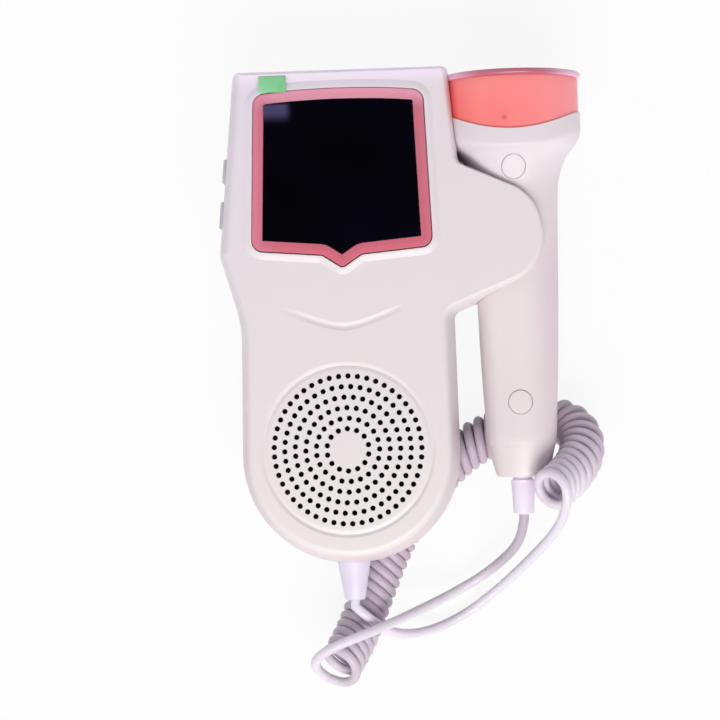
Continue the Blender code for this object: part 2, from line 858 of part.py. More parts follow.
def window_trim(material):
    bottom = TRIM_TOP - TRIM_THICKNESS
    outer = rounded_outline(trim_corners(), 0.0)
    inner = rounded_outline(trim_corners(), TRIM_WIDTH)
    rings = [raised(outer, bottom), raised(outer, TRIM_TOP), raised(inner, TRIM_TOP), raised(inner, bottom)]
    return finish("window_trim", loft(rings, closed=True), material)


def display_glass(material):
    inset = TRIM_WIDTH + FIT
    levels = ((inset, TRIM_TOP - TRIM_THICKNESS), (inset, GLASS_TOP))
    return finish("display_glass", outline_loft(trim_corners(), levels), material)


def screen_film(material):
    bottom = TRIM_TOP + FIT
    levels = ((FILM_INSET, bottom), (FILM_INSET, bottom + FILM_THICKNESS))
    return finish("screen_film", outline_loft(trim_corners(), levels), material)


def film_tab(material):
    """The pull tab that bends off the trim's edge towards the rounded end of the housing."""
    start = TRIM_TOP + FIT
    stations = ((0.0, 0.0), (0.25, 0.05), (0.6, 0.4), (1.0, 1.0))
    rings = []
    for along, drop in stations:
        y = TAB_START + TAB_LENGTH * along
        z = start - TAB_DROP * drop
        left, right, top = TAB_LEFT, TAB_LEFT + TAB_WIDTH, z + FILM_THICKNESS
        rings.append([(left, y, z), (right, y, z), (right, y, top), (left, y, top)])
    return finish("film_tab", loft(rings), material)


def lcd_module(material):
    low = (-LCD_HALF_WIDTH, LCD_LOW, LCD_TOP - LCD_THICKNESS)
    return finish("lcd_module", box(low, (LCD_HALF_WIDTH, LCD_HIGH, LCD_TOP)), material)


# Speaker


def speaker_parts(gasket_material, frame_material, cone_material, magnet_material):
    bottom = SPEAKER_TOP - SPEAKER_HEIGHT
    up = (0, 0, 1)
    inner = SPEAKER_RADIUS - GASKET_WIDTH
    low = SPEAKER_TOP + FIT
    high = low + GASKET_THICKNESS
    ring = ((inner, low), (SPEAKER_RADIUS, low), (SPEAKER_RADIUS, high), (inner, high))
    finish("speaker_gasket", turned(ring, (0, 0, 0), up, ROUND_STEPS), gasket_material)
    frame = [(r * SPEAKER_RADIUS, bottom + h * SPEAKER_HEIGHT) for r, h in FRAME_SHARES]
    finish("speaker_frame", turned(frame, (0, 0, 0), up, ROUND_STEPS), frame_material)
    cone = [(r * SPEAKER_RADIUS, bottom + h * SPEAKER_HEIGHT) for r, h in CONE_SHARES]
    finish("speaker_cone", turned(cone, (0, 0, 0), up, ROUND_STEPS), cone_material)
    top = bottom - FIT
    magnet = cylinder(MAGNET_RADIUS, (0, 0, top - MAGNET_HEIGHT), (0, 0, top), ROUND_STEPS)
    finish("speaker_magnet", magnet, magnet_material)


# Side buttons


def button_places():
    return ((POWER_BUTTON_Y, POWER_BUTTON_LENGTH), (VOLUME_BUTTON_Y, VOLUME_BUTTON_LENGTH))


def side_frame(y):
    """Point on the left side at this height of the buttons, and the directions out of and along it."""
    corners = body_corners()
    top, bottom = Vector(corners[0][:2]), Vector(corners[1][:2])
    along = (top - bottom).normalized()
    outwards = Vector((-along.y, along.x))
    point = bottom + (top - bottom) * (y - bottom.y) / (top.y - bottom.y)
    return point - outwards * SIDE_INSET, outwards, along


def side_box(y, outer, inner, half_length, half_height):
    """Box square to the left side, from outer to inner measured out of the wall."""
    bottom, top = BUTTON_AXIS_HEIGHT - half_height, BUTTON_AXIS_HEIGHT + half_height
    return side_loft(y, (outer, inner), half_length, bottom, top)


def side_loft(y, depths, half_length, bottom, top):
    point, outwards, along = side_frame(y)
    rings = []
    for depth in depths:
        middle = point + outwards * depth
        low, high = middle - along * half_length, middle + along * half_length
        rings.append(upright(low, high, bottom, top))
    return loft(rings)


def upright(low, high, bottom, top):
    """Corners of the upright rectangle over the line from low to high."""
    return [(low.x, low.y, bottom), (high.x, high.y, bottom), (high.x, high.y, top), (low.x, low.y, top)]


def button_hole(y, length):
    return side_box(y, REACH, -REACH, length / 2 + FIT, BUTTON_HEIGHT / 2 + FIT)


def side_button(name, y, length, material):
    lip_start = SIDE_WALL + FIT
    root = -lip_start - BUTTON_LIP_THICKNESS / 2
    button = finish(name, side_box(y, BUTTON_STAND, root, length / 2, BUTTON_HEIGHT / 2), material)
    lip = side_box(
        y,
        -lip_start,
        -lip_start - BUTTON_LIP_THICKNESS,
        length / 2 + BUTTON_LIP,
        BUTTON_HEIGHT / 2 + BUTTON_LIP,
    )
    join(button, finish("lip", lip))
    end = lip_start + BUTTON_LIP_THICKNESS
    root = -end + BUTTON_LIP_THICKNESS / 2
    stem = side_box(y, root, -end - BUTTON_STEM, BUTTON_STEM_HALF, BUTTON_STEM_HALF)
    join(button, finish("stem", stem))
    smooth(button.data)
    return button


def side_switch(name, y, material):
    near = SIDE_WALL + FIT + BUTTON_LIP_THICKNESS + BUTTON_STEM + BUTTON_TRAVEL + FIT
    bottom = BOARD_BOTTOM + BOARD_THICKNESS + FIT
    depths = (-near, -near - SWITCH_DEPTH)
    return finish(name, side_loft(y, depths, SWITCH_HALF, bottom, bottom + SWITCH_HEIGHT), material)


# Board and batteries


def main_board(material):
    low = (BOARD_LEFT, BOARD_LOW, BOARD_BOTTOM)
    high = (BOARD_RIGHT, BOARD_HIGH, BOARD_BOTTOM + BOARD_THICKNESS)
    return finish("main_board", box(low, high), material)


def battery_cell(name, x, material):
    nub = CELL_LENGTH + CELL_NUB
    profile = ((0, 0), (CELL_RADIUS, 0), (CELL_RADIUS, CELL_LENGTH), (CELL_NUB_RADIUS, CELL_LENGTH))
    profile = (*profile, (CELL_NUB_RADIUS, nub), (0, nub))
    start = (x, CELL_START, CELL_AXIS_HEIGHT)
    return finish(name, turned(profile, start, (0, 1, 0), SMALL_STEPS), material)


def battery_contacts(material_springs, material_plate):
    low_y = BAY_LOW + FIT
    low = (-PLATE_HALF_WIDTH, low_y, CELL_AXIS_HEIGHT - PLATE_HALF_HEIGHT)
    high = (PLATE_HALF_WIDTH, low_y + PLATE_THICKNESS, CELL_AXIS_HEIGHT + PLATE_HALF_HEIGHT)
    springs = finish("battery_spring_plate", box(low, high), material_springs)
    for x in (-CELL_SPREAD, CELL_SPREAD):
        reach = PLATE_THICKNESS / 2 + SPRING_REACH
        cone = ((0, 0), (SPRING_RADIUS, 0), (SPRING_TIP_RADIUS, reach), (0, reach))
        start = (x, low_y + PLATE_THICKNESS / 2, CELL_AXIS_HEIGHT)
        join(springs, finish("spring", turned(cone, start, (0, 1, 0), SMALL_STEPS)))
    smooth(springs.data)
    high_y = BAY_HIGH - FIT
    low = (-PLATE_HALF_WIDTH, high_y - PLATE_THICKNESS, CELL_AXIS_HEIGHT - PLATE_HALF_HEIGHT)
    high = (PLATE_HALF_WIDTH, high_y, CELL_AXIS_HEIGHT + PLATE_HALF_HEIGHT)
    finish("battery_contact_plate", box(low, high), material_plate)


def battery_door(material):
    """Sliding door: an outer plate in the opening, and an inner flange that holds it behind the wall."""
    low = (-DOOR_HALF_WIDTH, DOOR_LOW, DOOR_RECESS)
    high = (DOOR_HALF_WIDTH, DOOR_HIGH, DOOR_RECESS + DOOR_THICKNESS)
    door = finish("battery_door", box(low, high), material)
    neck_half = DOOR_HALF_WIDTH - FIT
    flange_bottom = WALL + FIT
    low = (-neck_half, DOOR_FLANGE_LOW, DOOR_RECESS + DOOR_THICKNESS / 2)
    high = (neck_half, DOOR_FLANGE_HIGH, flange_bottom + DOOR_FLANGE_THICKNESS / 2)
    join(door, finish("neck", box(low, high)))
    half = DOOR_HALF_WIDTH + DOOR_FLANGE
    low = (-half, DOOR_FLANGE_LOW, flange_bottom)
    join(door, finish("flange", box(low, (half, DOOR_FLANGE_HIGH, flange_bottom + DOOR_FLANGE_THICKNESS))))
    smooth(door.data)
    return door


# Cord glands


def gland_hole():
    """Stepped hole for the boot's neck and the flange that holds it behind the wall."""
    neck, flange = BOOT_NECK_RADIUS + FIT, BOOT_FLANGE_RADIUS + FIT
    seat = BOOT_NECK_LENGTH - FIT
    end = BOOT_NECK_LENGTH + BOOT_FLANGE_THICKNESS + FIT
    profile = ((0, -REACH), (neck, -REACH), (neck, seat), (flange, seat), (flange, end), (0, end))
    return finish("gland_hole", turned(profile, (0, BOOT_START, PARTING), (0, 1, 0), SMALL_STEPS))


def unit_boot(material):
    neck = BOOT_NECK_LENGTH
    flange = neck + BOOT_FLANGE_THICKNESS
    profile = (
        (0, -BOOT_LENGTH),
        (BOOT_TIP_RADIUS, -BOOT_LENGTH),
        (BOOT_RADIUS, 0),
        (BOOT_NECK_RADIUS, 0),
        (BOOT_NECK_RADIUS, neck),
        (BOOT_FLANGE_RADIUS, neck),
        (BOOT_FLANGE_RADIUS, flange),
        (0, flange),
    )
    return finish("unit_boot", turned(profile, (0, BOOT_START, PARTING), (0, 1, 0), SMALL_STEPS), material)


def probe_boot(material):
    neck = PROBE_NECK_LENGTH
    flange = neck + PROBE_FLANGE_THICKNESS
    profile = (
        (0, -PROBE_BOOT_LENGTH),
        (PROBE_BOOT_TIP, -PROBE_BOOT_LENGTH),
        (PROBE_BOOT_RADIUS, 0),
        (PROBE_NECK_RADIUS, 0),
        (PROBE_NECK_RADIUS, neck),
        (PROBE_FLANGE_RADIUS, neck),
        (PROBE_FLANGE_RADIUS, flange),
        (0, flange),
    )
    centre = (PROBE_X, TAIL_END - FIT, PROBE_HEIGHT)
    return finish("probe_boot", turned(profile, centre, (0, 1, 0), SMALL_STEPS), material)


# Probe


def collar_edge(turn):
    """Where the collar ends on the head: low in the middle of the front and back, high at the sides."""
    return COLLAR_EDGE - COLLAR_SMILE * math.sin(turn) ** 2


def handle_half(name, side, material):
    """Half of the handle's tube, with side 1 for the front and -1 for the back."""
    turns = [math.pi * i / PROBE_STEPS for i in range(PROBE_STEPS + 1)]
    stations = handle_stations()
    fixed = [y for y in stations if y <= COLLAR_EDGE - 2 * COLLAR_SMILE]
    last = fixed[-1]
    rings = []
    for y in (TAIL_SEAM + FIT, *fixed[1:]):
        rings.append(half_ring([y] * len(turns), turns, side))
    for part in (0.35, 0.7, 1.0):
        ys = [last + (collar_edge(a) - FIT - last) * part for a in turns]
        rings.append(half_ring(ys, turns, side))
    return finish(name, loft(rings, folded=True), material)


def half_ring(ys, turns, side):
    middle = PROBE_HEIGHT + side * SEAM / 2
    outer, inner = [], []
    for y, a in zip(ys, turns):
        width, height = half_width(y), half_width(y) * flatness(y)
        outer.append((PROBE_X + width * math.cos(a), y, middle + side * height * math.sin(a)))
        width, height = width - PROBE_WALL, height - PROBE_WALL
        inner.append((PROBE_X + width * math.cos(a), y, middle + side * height * math.sin(a)))
    return outer + inner[::-1]


def probe_outer(inset):
    """The handle's full outer form, drawn inwards, to trim the plugs and the screw bosses."""
    rings = []
    for y in handle_stations():
        width, height = half_width(y) - inset, half_width(y) * flatness(y) - inset
        rings.append(oval(y, width, height, ROUND_STEPS))
    return finish("probe_outer", loft(rings))


def plug_floor(y):
    return PROBE_HEIGHT + half_width(y) * flatness(y) - PLUG_DEPTH


def probe_screw_profile(y, clearance):
    """Stepped outline of the screw from its tip to its head, grown by the clearance."""
    seat = plug_floor(y) - PROBE_HEAD_HEIGHT - FIT
    tip = PROBE_HEIGHT - PROBE_SCREW_DEPTH
    shank = PROBE_SCREW_RADIUS + clearance
    head = PROBE_HEAD_RADIUS + clearance
    low, step = tip - clearance, seat - clearance
    return ((0, low), (shank, low), (shank, step), (head, step))


def probe_screw_hole(y):
    floor = plug_floor(y)
    head = PROBE_HEAD_RADIUS + FIT
    wide = PLUG_RADIUS + FIT
    top = floor + 2 * REACH
    profile = (*probe_screw_profile(y, FIT), (head, floor), (wide, floor), (wide, top), (0, top))
    return finish("probe_screw_hole", turned(profile, (PROBE_X, y, 0), (0, 0, 1), SMALL_STEPS))


def probe_screw(name, y, material):
    seat = plug_floor(y) - FIT
    profile = (*probe_screw_profile(y, 0.0), (PROBE_HEAD_RADIUS, seat), (0, seat))
    return finish(name, turned(profile, (PROBE_X, y, 0), (0, 0, 1), SMALL_STEPS), material)


def probe_plug(name, y, material):
    floor = plug_floor(y) + FIT
    start, end = (PROBE_X, y, floor), (PROBE_X, y, floor + 2 * REACH)
    plug = finish(name, cylinder(PLUG_RADIUS, start, end, SMALL_STEPS), material)
    keep_within(plug, probe_outer(0.0))
    smooth(plug.data)
    return plug


def probe_boss(y, side):
    near = PROBE_HEIGHT + side * (SEAM / 2 + BOSS_RELIEF)
    far = PROBE_HEIGHT + side * HEAD_RADIUS
    boss = finish("boss", cylinder(PROBE_BOSS_RADIUS, (PROBE_X, y, near), (PROBE_X, y, far), SMALL_STEPS))
    keep_within(boss, probe_outer(PROBE_WALL / 2))
    return boss


def probe_shells(front_material, back_material):
    front = handle_half("probe_front_shell", 1, front_material)
    back = handle_half("probe_back_shell", -1, back_material)
    for y in (UPPER_PLUG_Y, LOWER_PLUG_Y):
        join(front, probe_boss(y, 1))
        join(back, probe_boss(y, -1))
        cut(front, probe_screw_hole(y))
        cut(back, probe_screw_hole(y))
    smooth(front.data)
    smooth(back.data)
    return front, back


def probe_collar(material):
    turns = [math.pi * i / PROBE_STEPS for i in range(2 * PROBE_STEPS)]
    rows = ((0.0, 0.0), (0.5, 0.0), (1.0, 0.0), (1.0, COLLAR_WALL), (0.5, COLLAR_WALL), (0.0, COLLAR_WALL))
    rings = []
    for part, inset in rows:
        ring = []
        for a in turns:
            low = collar_edge(a)
            y = low + (COLLAR_TOP - low) * part
            radius = COLLAR_RADIUS - inset
            ring.append((PROBE_X + radius * math.cos(a), y, PROBE_HEIGHT + radius * math.sin(a)))
        rings.append(ring)
    return finish("probe_collar", loft(rings, closed=True), material)


def probe_face(material):
    profile = [(r * FACE_RADIUS, h * FACE_THICKNESS) for r, h in FACE_SHARES]
    centre = (PROBE_X, FACE_BOTTOM, PROBE_HEIGHT)
    return finish("probe_face", turned(profile, centre, (0, 1, 0), ROUND_STEPS), material)


def crystal(name, side, material):
    """Half-round piezo plate behind the face: one sends and the other listens."""
    turns = [math.pi * i / SMALL_STEPS for i in range(SMALL_STEPS + 1)]
    top = FACE_BOTTOM - FIT
    rings = []
    for y in (top - CRYSTAL_THICKNESS, top):
        ring = []
        for a in turns:
            x = PROBE_X + CRYSTAL_RADIUS * math.cos(a)
            z = PROBE_HEIGHT + side * (CRYSTAL_SPLIT + CRYSTAL_RADIUS * math.sin(a))
            ring.append((x, y, z))
        rings.append(ring)
    return finish(name, loft(rings), material)


def probe_board(material):
    low = (PROBE_X - PROBE_BOARD_HALF, PROBE_BOARD_LOW, PROBE_HEIGHT - PROBE_BOARD_THICKNESS / 2)
    high = (PROBE_X + PROBE_BOARD_HALF, PROBE_BOARD_HIGH, PROBE_HEIGHT + PROBE_BOARD_THICKNESS / 2)
    return finish("probe_board", box(low, high), material)


def tail_cap(material):
    """The end cap of the handle, hollow, with the hole that holds the cord boot."""
    length = TAIL_SEAM - TAIL_END
    rings = []
    for share, width_share in TAIL_SHARES:
        width = HEAD_RADIUS * width_share
        rings.append(oval(TAIL_END + length * share, width, width * HANDLE_FLATNESS, ROUND_STEPS))
    cap = finish("probe_tail_cap", loft(rings), material)
    inner = []
    ends = ((TAIL_END + PROBE_WALL, TAIL_SHARES[1][1]), (TAIL_SEAM + REACH, TAIL_SHARES[-1][1]))
    for y, width_share in ends:
        width = HEAD_RADIUS * width_share - PROBE_WALL
        inner.append(oval(y, width, width * HANDLE_FLATNESS, ROUND_STEPS))
    cut(cap, finish("tail_hollow", loft(inner)))
    start = (PROBE_X, TAIL_END - REACH, PROBE_HEIGHT)
    hole = cylinder(PROBE_NECK_RADIUS + FIT, start, (PROBE_X, TAIL_END + REACH, PROBE_HEIGHT), SMALL_STEPS)
    cut(cap, finish("boot_hole", hole))
    smooth(cap.data)
    return cap


# Cord


def smooth_route(points, steps):
    """Catmull-Rom curve through the points, as an array."""
    points = [np.array(p, dtype=float) for p in points]
    points = [2 * points[0] - points[1], *points, 2 * points[-1] - points[-2]]
    curve = []
    for a, b, c, d in zip(points, points[1:], points[2:], points[3:]):
        for k in range(steps):
            t = k / steps
            bend = 2 * b + (c - a) * t + (2 * a - 5 * b + 4 * c - d) * t**2
            curve.append((bend + (3 * b - 3 * c + d - a) * t**3) / 2)
    curve.append(points[-2])
    return np.array(curve)


def even_points(curve, count):
    """Points at equal distances along the curve."""
    steps = np.linalg.norm(np.diff(curve, axis=0), axis=1)
    run = np.concatenate(([0.0], np.cumsum(steps)))
    wanted = np.linspace(0.0, run[-1], count)
    return np.stack([np.interp(wanted, run, curve[:, k]) for k in range(3)], axis=1), run[-1]


def eased(points, width):
    """The curve averaged over a width on either side, with its ends kept."""
    before = 2 * points[0] - points[width:0:-1]
    after = 2 * points[-1] - points[-2 : -width - 2 : -1]
    padded = np.concatenate((before, points, after))
    kernel = np.ones(2 * width + 1) / (2 * width + 1)
    return np.stack([np.convolve(padded[:, k], kernel, mode="valid") for k in range(3)], axis=1)


def carried_frames(points):
    """Tangents and a pair of side directions carried along the curve without twist."""
    tangents = np.gradient(points, axis=0)
    tangents /= np.linalg.norm(tangents, axis=1)[:, None]
    side = np.cross(tangents[0], (0.0, 0.0, 1.0))
    side /= np.linalg.norm(side)
    sides = []
    for tangent in tangents:
        side = side - tangent * np.dot(side, tangent)
        side /= np.linalg.norm(side)
        sides.append(side)
    sides = np.array(sides)
    return tangents, sides, np.cross(tangents, sides)


def curl_pitch(points, spacing, tangents):
    """Room for one curl at each point: wider where the coil bends, so that the inner side stays open."""
    bend = np.linalg.norm(np.gradient(tangents, axis=0), axis=1) / spacing
    width = max(3, int(2 * CURL_RADIUS / spacing))
    kernel = np.ones(width) / width
    padded = np.pad(bend, width, mode="edge")
    bend = np.convolve(padded, kernel, mode="same")[width:-width]
    return (2 * CORD_RADIUS + CURL_GAP) / (1.0 - np.minimum(bend * CURL_RADIUS, MOST_BEND))


def coil_axis(count):
    points, length = even_points(smooth_route(np.array(COIL_ROUTE_MM) * MM, 40), count)
    width = int(ROUTE_EASE * count / length)
    return even_points(eased(eased(points, width), width), count)


def curl_radius(turn):
    """Radius of the helix: the first quarter of a curl opens out to take the lead."""
    part = min(turn / LOOSE_TURN, 1.0)
    return CURL_RADIUS * (1.0 + LOOSE_CURL * (1.0 + math.cos(math.pi * part)) / 2)


def coil_turns(count):
    """The coil's axis, its side directions, and how far the helix has turned at each of its points."""
    points, length = coil_axis(count)
    spacing = length / (count - 1)
    tangents, sides, others = carried_frames(points)
    pitch = curl_pitch(points, spacing, tangents)
    opening = np.maximum(0.0, 1.0 - spacing * np.arange(count) / LOOSE_RUN)
    pitch *= 1.0 + LOOSE_PITCH * opening
    turns = np.concatenate(([0.0], np.cumsum(spacing / pitch[1:])))
    right = np.array((1.0, 0.0, 0.0))
    last = math.atan2(np.dot(right, others[-1]), np.dot(right, sides[-1]))
    over = (FIRST_ANGLE - last) / (2 * math.pi) % 1.0
    total = math.floor(turns[-1] - over) + over
    return points, sides, others, turns * total / turns[-1], length


def helix_point(turn, points, sides, others, turns):
    place = np.interp(turn, turns, np.arange(len(turns)))
    low = min(int(place), len(turns) - 2)
    part = place - low
    centre = points[low] * (1 - part) + points[low + 1] * part
    side = sides[low] * (1 - part) + sides[low + 1] * part
    other = others[low] * (1 - part) + others[low + 1] * part
    angle = FIRST_ANGLE - 2 * math.pi * turn
    return centre + curl_radius(turn) * (side * math.cos(angle) + other * math.sin(angle))


def unit_vector(vector):
    return vector / np.linalg.norm(vector)


def coil_points(points_a_curl):
    """One unbroken left-handed helix along the coil's route, with straight ends one diameter long."""
    points, sides, others, turns, length = coil_turns(AXIS_POINTS)
    frame = (points, sides, others, turns)
    total = turns[-1]
    wanted = np.linspace(0.0, total, int(round(total * points_a_curl)) + 1)
    helix = [helix_point(turn, *frame) for turn in wanted]
    small = 1.0 / AXIS_POINTS
    start = unit_vector(helix[0] - helix_point(small, *frame))
    end = unit_vector(helix[-1] - helix_point(total - small, *frame))
    run = 2 * CORD_RADIUS
    helix = [helix[0] + start * run, *helix, helix[-1] + end * run]
    return np.array(helix), total, length


def least_gap():
    """Smallest open space between two curls of the helix."""
    fine = 36
    points, total, _ = coil_points(fine)
    best = 1.0
    for i in range(len(points)):
        far = points[i + fine // 2 :]
        if len(far):
            best = min(best, np.min(np.linalg.norm(far - points[i], axis=1)))
    return best - 2 * CORD_RADIUS


def tube(name, points, radius, resolution, material):
    """Round tube through the points, a curve with a bevel and filled caps."""
    curve = bpy.data.curves.new(name, "CURVE")
    curve.dimensions = "3D"
    curve.bevel_depth = radius
    curve.bevel_resolution = resolution
    curve.use_fill_caps = True
    spline = curve.splines.new("POLY")
    spline.points.add(len(points) - 1)
    for target, point in zip(spline.points, points):
        target.co = (*(Vector(point) - REST_POINT), 1.0)
    spline.use_smooth = True
    curve.materials.append(material)
    obj = bpy.data.objects.new(name, curve)
    bpy.context.scene.collection.objects.link(obj)
    return obj


def run_length(points):
    return float(np.sum(np.linalg.norm(np.diff(points, axis=0), axis=1)))


def lead_points(start, start_direction, route, end, end_direction):
    """Smooth lead between two ends, leaving each one straight for a diameter."""
    run = 2 * CORD_RADIUS
    first, second = np.array(start), np.array(start) + np.array(start_direction) * run
    last, before = np.array(end), np.array(end) + np.array(end_direction) * run
    middle = smooth_route([second, *(np.array(route) * MM), before], 20)
    count = int(run_length(middle) / LEAD_STEP) + 2
    middle, _ = even_points(middle, count)
    return np.array([first, *middle, last])


def make_cords(coil_material, unit_material, probe_material):
    coil, total, length = coil_points(POINTS_A_CURL)
    tube("cord_coil", coil, CORD_RADIUS, 1, coil_material)
    out = coil[-1] - coil[-2]
    out /= np.linalg.norm(out)
    boot_tip = (0.0, BOOT_START - BOOT_LENGTH - FIT, PARTING)
    unit = lead_points(coil[-1] + out * FIT, out, UNIT_LEAD_ROUTE_MM, boot_tip, (0.0, -1.0, 0.0))
    tube("cord_unit_lead", unit, CORD_RADIUS, 2, unit_material)
    back = coil[0] - coil[1]
    back /= np.linalg.norm(back)
    probe_tip = (PROBE_X, TAIL_END - FIT - PROBE_BOOT_LENGTH - FIT, PROBE_HEIGHT)
    probe = lead_points(probe_tip, (0.0, -1.0, 0.0), PROBE_LEAD_ROUTE_MM, coil[0] + back * FIT, back)
    tube("cord_probe_lead", probe, CORD_RADIUS, 2, probe_material)
    print("curls", round(total, 2), "coil axis", round(length, 4), "coil cord", round(run_length(coil), 4))
    print("unit lead", round(run_length(unit), 4), "points", len(unit))
    print("probe lead", round(run_length(probe), 4), "points", len(probe))
    print("least gap between curls, mm", round(least_gap() / MM, 3))


# Joints


def hang_on(name, place, objects):
    """Parents moving pieces to an empty on their joint's axis, without moving them."""
    empty = bpy.data.objects.new(name, None)
    bpy.context.scene.collection.objects.link(empty)
    empty.location = Vector(place) - REST_POINT
    for obj in objects:
        obj.parent = empty
        obj.matrix_parent_inverse = Matrix.Translation(-empty.location)


# Assembly


def build_hand_unit():
    white = (0.86, 0.80, 0.83)
    front_shell(material_for("front_shell", white, 0.42))
    back_shell(material_for("back_shell", (0.84, 0.78, 0.81), 0.45))
    window_trim(material_for("window_trim", (0.76, 0.22, 0.30), 0.35))
    display_glass(material_for("display_glass", (0.006, 0.006, 0.012), 0.08))
    screen_film(material_for("screen_film", (0.92, 0.94, 1.0), 0.05, 0.0, 0.1))
    film_tab(material_for("film_tab", (0.20, 0.62, 0.29), 0.45))
    lcd_module(material_for("lcd_module", (0.05, 0.06, 0.07), 0.3))
    speaker_parts(
        material_for("speaker_gasket", (0.05, 0.05, 0.05), 0.9),
        material_for("speaker_frame", (0.55, 0.56, 0.58), 0.35, 1.0),
        material_for("speaker_cone", (0.04, 0.04, 0.045), 0.8),
        material_for("speaker_magnet", (0.30, 0.30, 0.32), 0.4, 1.0),
    )
    grey = (0.72, 0.68, 0.71)
    power, volume = (
        side_button(name, y, length, material_for(name, grey, 0.5))
        for name, (y, length) in zip(("power_button", "volume_button"), button_places())
    )
    side_switch("power_switch", POWER_BUTTON_Y, material_for("power_switch", (0.1, 0.1, 0.11), 0.5))
    side_switch("volume_switch", VOLUME_BUTTON_Y, material_for("volume_switch", (0.1, 0.1, 0.11), 0.5))
    main_board(material_for("main_board", (0.03, 0.22, 0.09), 0.5))
    for name, x in (("battery_cell_left", -CELL_SPREAD), ("battery_cell_right", CELL_SPREAD)):
        battery_cell(name, x, material_for(name, (0.08, 0.08, 0.09), 0.3, 0.6))
    battery_contacts(
        material_for("battery_spring_plate", (0.78, 0.78, 0.76), 0.25, 1.0),
        material_for("battery_contact_plate", (0.78, 0.78, 0.76), 0.25, 1.0),
    )
    door = battery_door(material_for("battery_door", (0.84, 0.78, 0.81), 0.45))
    for number, place in enumerate(screw_places(), 1):
        name = f"case_screw_{number}"
        case_screw(name, place, material_for(name, (0.62, 0.62, 0.63), 0.3, 1.0))
    unit_boot(material_for("unit_boot", (0.84, 0.79, 0.87), 0.5))
    for name, y, button in (("power", POWER_BUTTON_Y, power), ("volume", VOLUME_BUTTON_Y, volume)):
        point, _, _ = side_frame(y)
        hang_on(f"{name}_axis", (point.x, point.y, BUTTON_AXIS_HEIGHT), [button])
    hang_on("door_axis", (0.0, DOOR_HIGH, DOOR_RECESS), [door])


def build_probe():
    white = (0.87, 0.81, 0.82)
    pieces = list(
        probe_shells(
            material_for("probe_front_shell", white, 0.42),
            material_for("probe_back_shell", white, 0.42),
        )
    )
    pieces.append(probe_collar(material_for("probe_collar", (0.95, 0.21, 0.20), 0.38)))
    pieces.append(probe_face(material_for("probe_face", (0.60, 0.40, 0.46), 0.25)))
    pieces.append(crystal("transmit_crystal", 1, material_for("transmit_crystal", (0.75, 0.70, 0.58), 0.5)))
    pieces.append(crystal("receive_crystal", -1, material_for("receive_crystal", (0.75, 0.70, 0.58), 0.5)))
    pieces.append(probe_board(material_for("probe_board", (0.03, 0.22, 0.09), 0.5)))
    pieces.append(tail_cap(material_for("probe_tail_cap", white, 0.42)))
    pieces.append(probe_boot(material_for("probe_boot", (0.84, 0.79, 0.87), 0.5)))
    for part, y in (("upper", UPPER_PLUG_Y), ("lower", LOWER_PLUG_Y)):
        name = f"probe_plug_{part}"
        pieces.append(probe_plug(name, y, material_for(name, white, 0.45)))
        name = f"probe_screw_{part}"
        pieces.append(probe_screw(name, y, material_for(name, (0.62, 0.62, 0.63), 0.3, 1.0)))
    hang_on("probe_axis", (PROBE_X, TAIL_SEAM, PROBE_HEIGHT), pieces)


def build_cord():
    lilac = (0.84, 0.79, 0.87)
    make_cords(
        material_for("cord_coil", lilac, 0.45),
        material_for("cord_unit_lead", lilac, 0.45),
        material_for("cord_probe_lead", lilac, 0.45),
    )


def main():
    clear_scene()
    build_hand_unit()
    build_probe()
    build_cord()


main()
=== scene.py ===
# %% [markdown]
# A handheld fetal doppler lies on its back with its probe in the holster and its curly cord round it.
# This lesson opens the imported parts, then models each piece that shows again in the same place and size
# with more care: softer edges, rounder corners, a fuller cord and real finishes.

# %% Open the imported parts
import math

import bmesh
import bpy
import numpy as np
from mathutils import Matrix, Vector


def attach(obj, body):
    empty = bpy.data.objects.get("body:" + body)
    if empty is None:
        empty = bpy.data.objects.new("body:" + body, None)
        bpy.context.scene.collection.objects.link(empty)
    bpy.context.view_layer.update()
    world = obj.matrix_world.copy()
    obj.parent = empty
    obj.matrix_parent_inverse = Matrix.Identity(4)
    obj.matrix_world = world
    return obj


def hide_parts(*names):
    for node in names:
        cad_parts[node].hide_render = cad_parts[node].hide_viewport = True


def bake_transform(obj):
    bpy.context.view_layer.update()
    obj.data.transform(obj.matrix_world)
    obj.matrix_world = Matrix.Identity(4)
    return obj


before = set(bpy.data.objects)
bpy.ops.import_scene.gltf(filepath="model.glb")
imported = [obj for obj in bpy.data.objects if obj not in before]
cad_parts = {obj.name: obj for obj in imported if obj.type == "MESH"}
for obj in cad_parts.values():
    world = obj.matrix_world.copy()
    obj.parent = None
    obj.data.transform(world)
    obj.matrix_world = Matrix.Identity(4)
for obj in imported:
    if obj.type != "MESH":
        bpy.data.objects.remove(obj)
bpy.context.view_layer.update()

# %% [markdown]
# All modelling below is in millimetres from the middle of the speaker grille, on the table's level, because
# the sizes of such a product are easiest to read that way. A finished piece is scaled to metres and moved to
# the frame's origin once, in its mesh.

# %% Units and the grille's place
MM = 0.001
GRILLE = Vector((0.0, -0.1022, 0.0))
PROBE_X = 49.3
PROBE_Z = 22.0


def in_frame(point):
    return Vector(point) * MM + GRILLE


print("grille centre in the frame", in_frame((0, 0, 35)))

# %% [markdown]
# The photograph looks almost straight down on the product, from a little to its right and a little below,
# with a long lens, and the product leans slightly to the left.

# %% Camera
VIEW_WIDTH = 0.20434
DISTANCE = 0.9
SENSOR = 36.0
TARGET = Vector((0.00417, -0.0768, 0.035))
FROM_RIGHT = math.radians(3.2)
FROM_BELOW = math.radians(1.0)
CAMERA_LEAN = math.radians(1.65)


def add_object(name, data):
    thing = bpy.data.objects.new(name, data)
    bpy.context.scene.collection.objects.link(thing)
    return thing


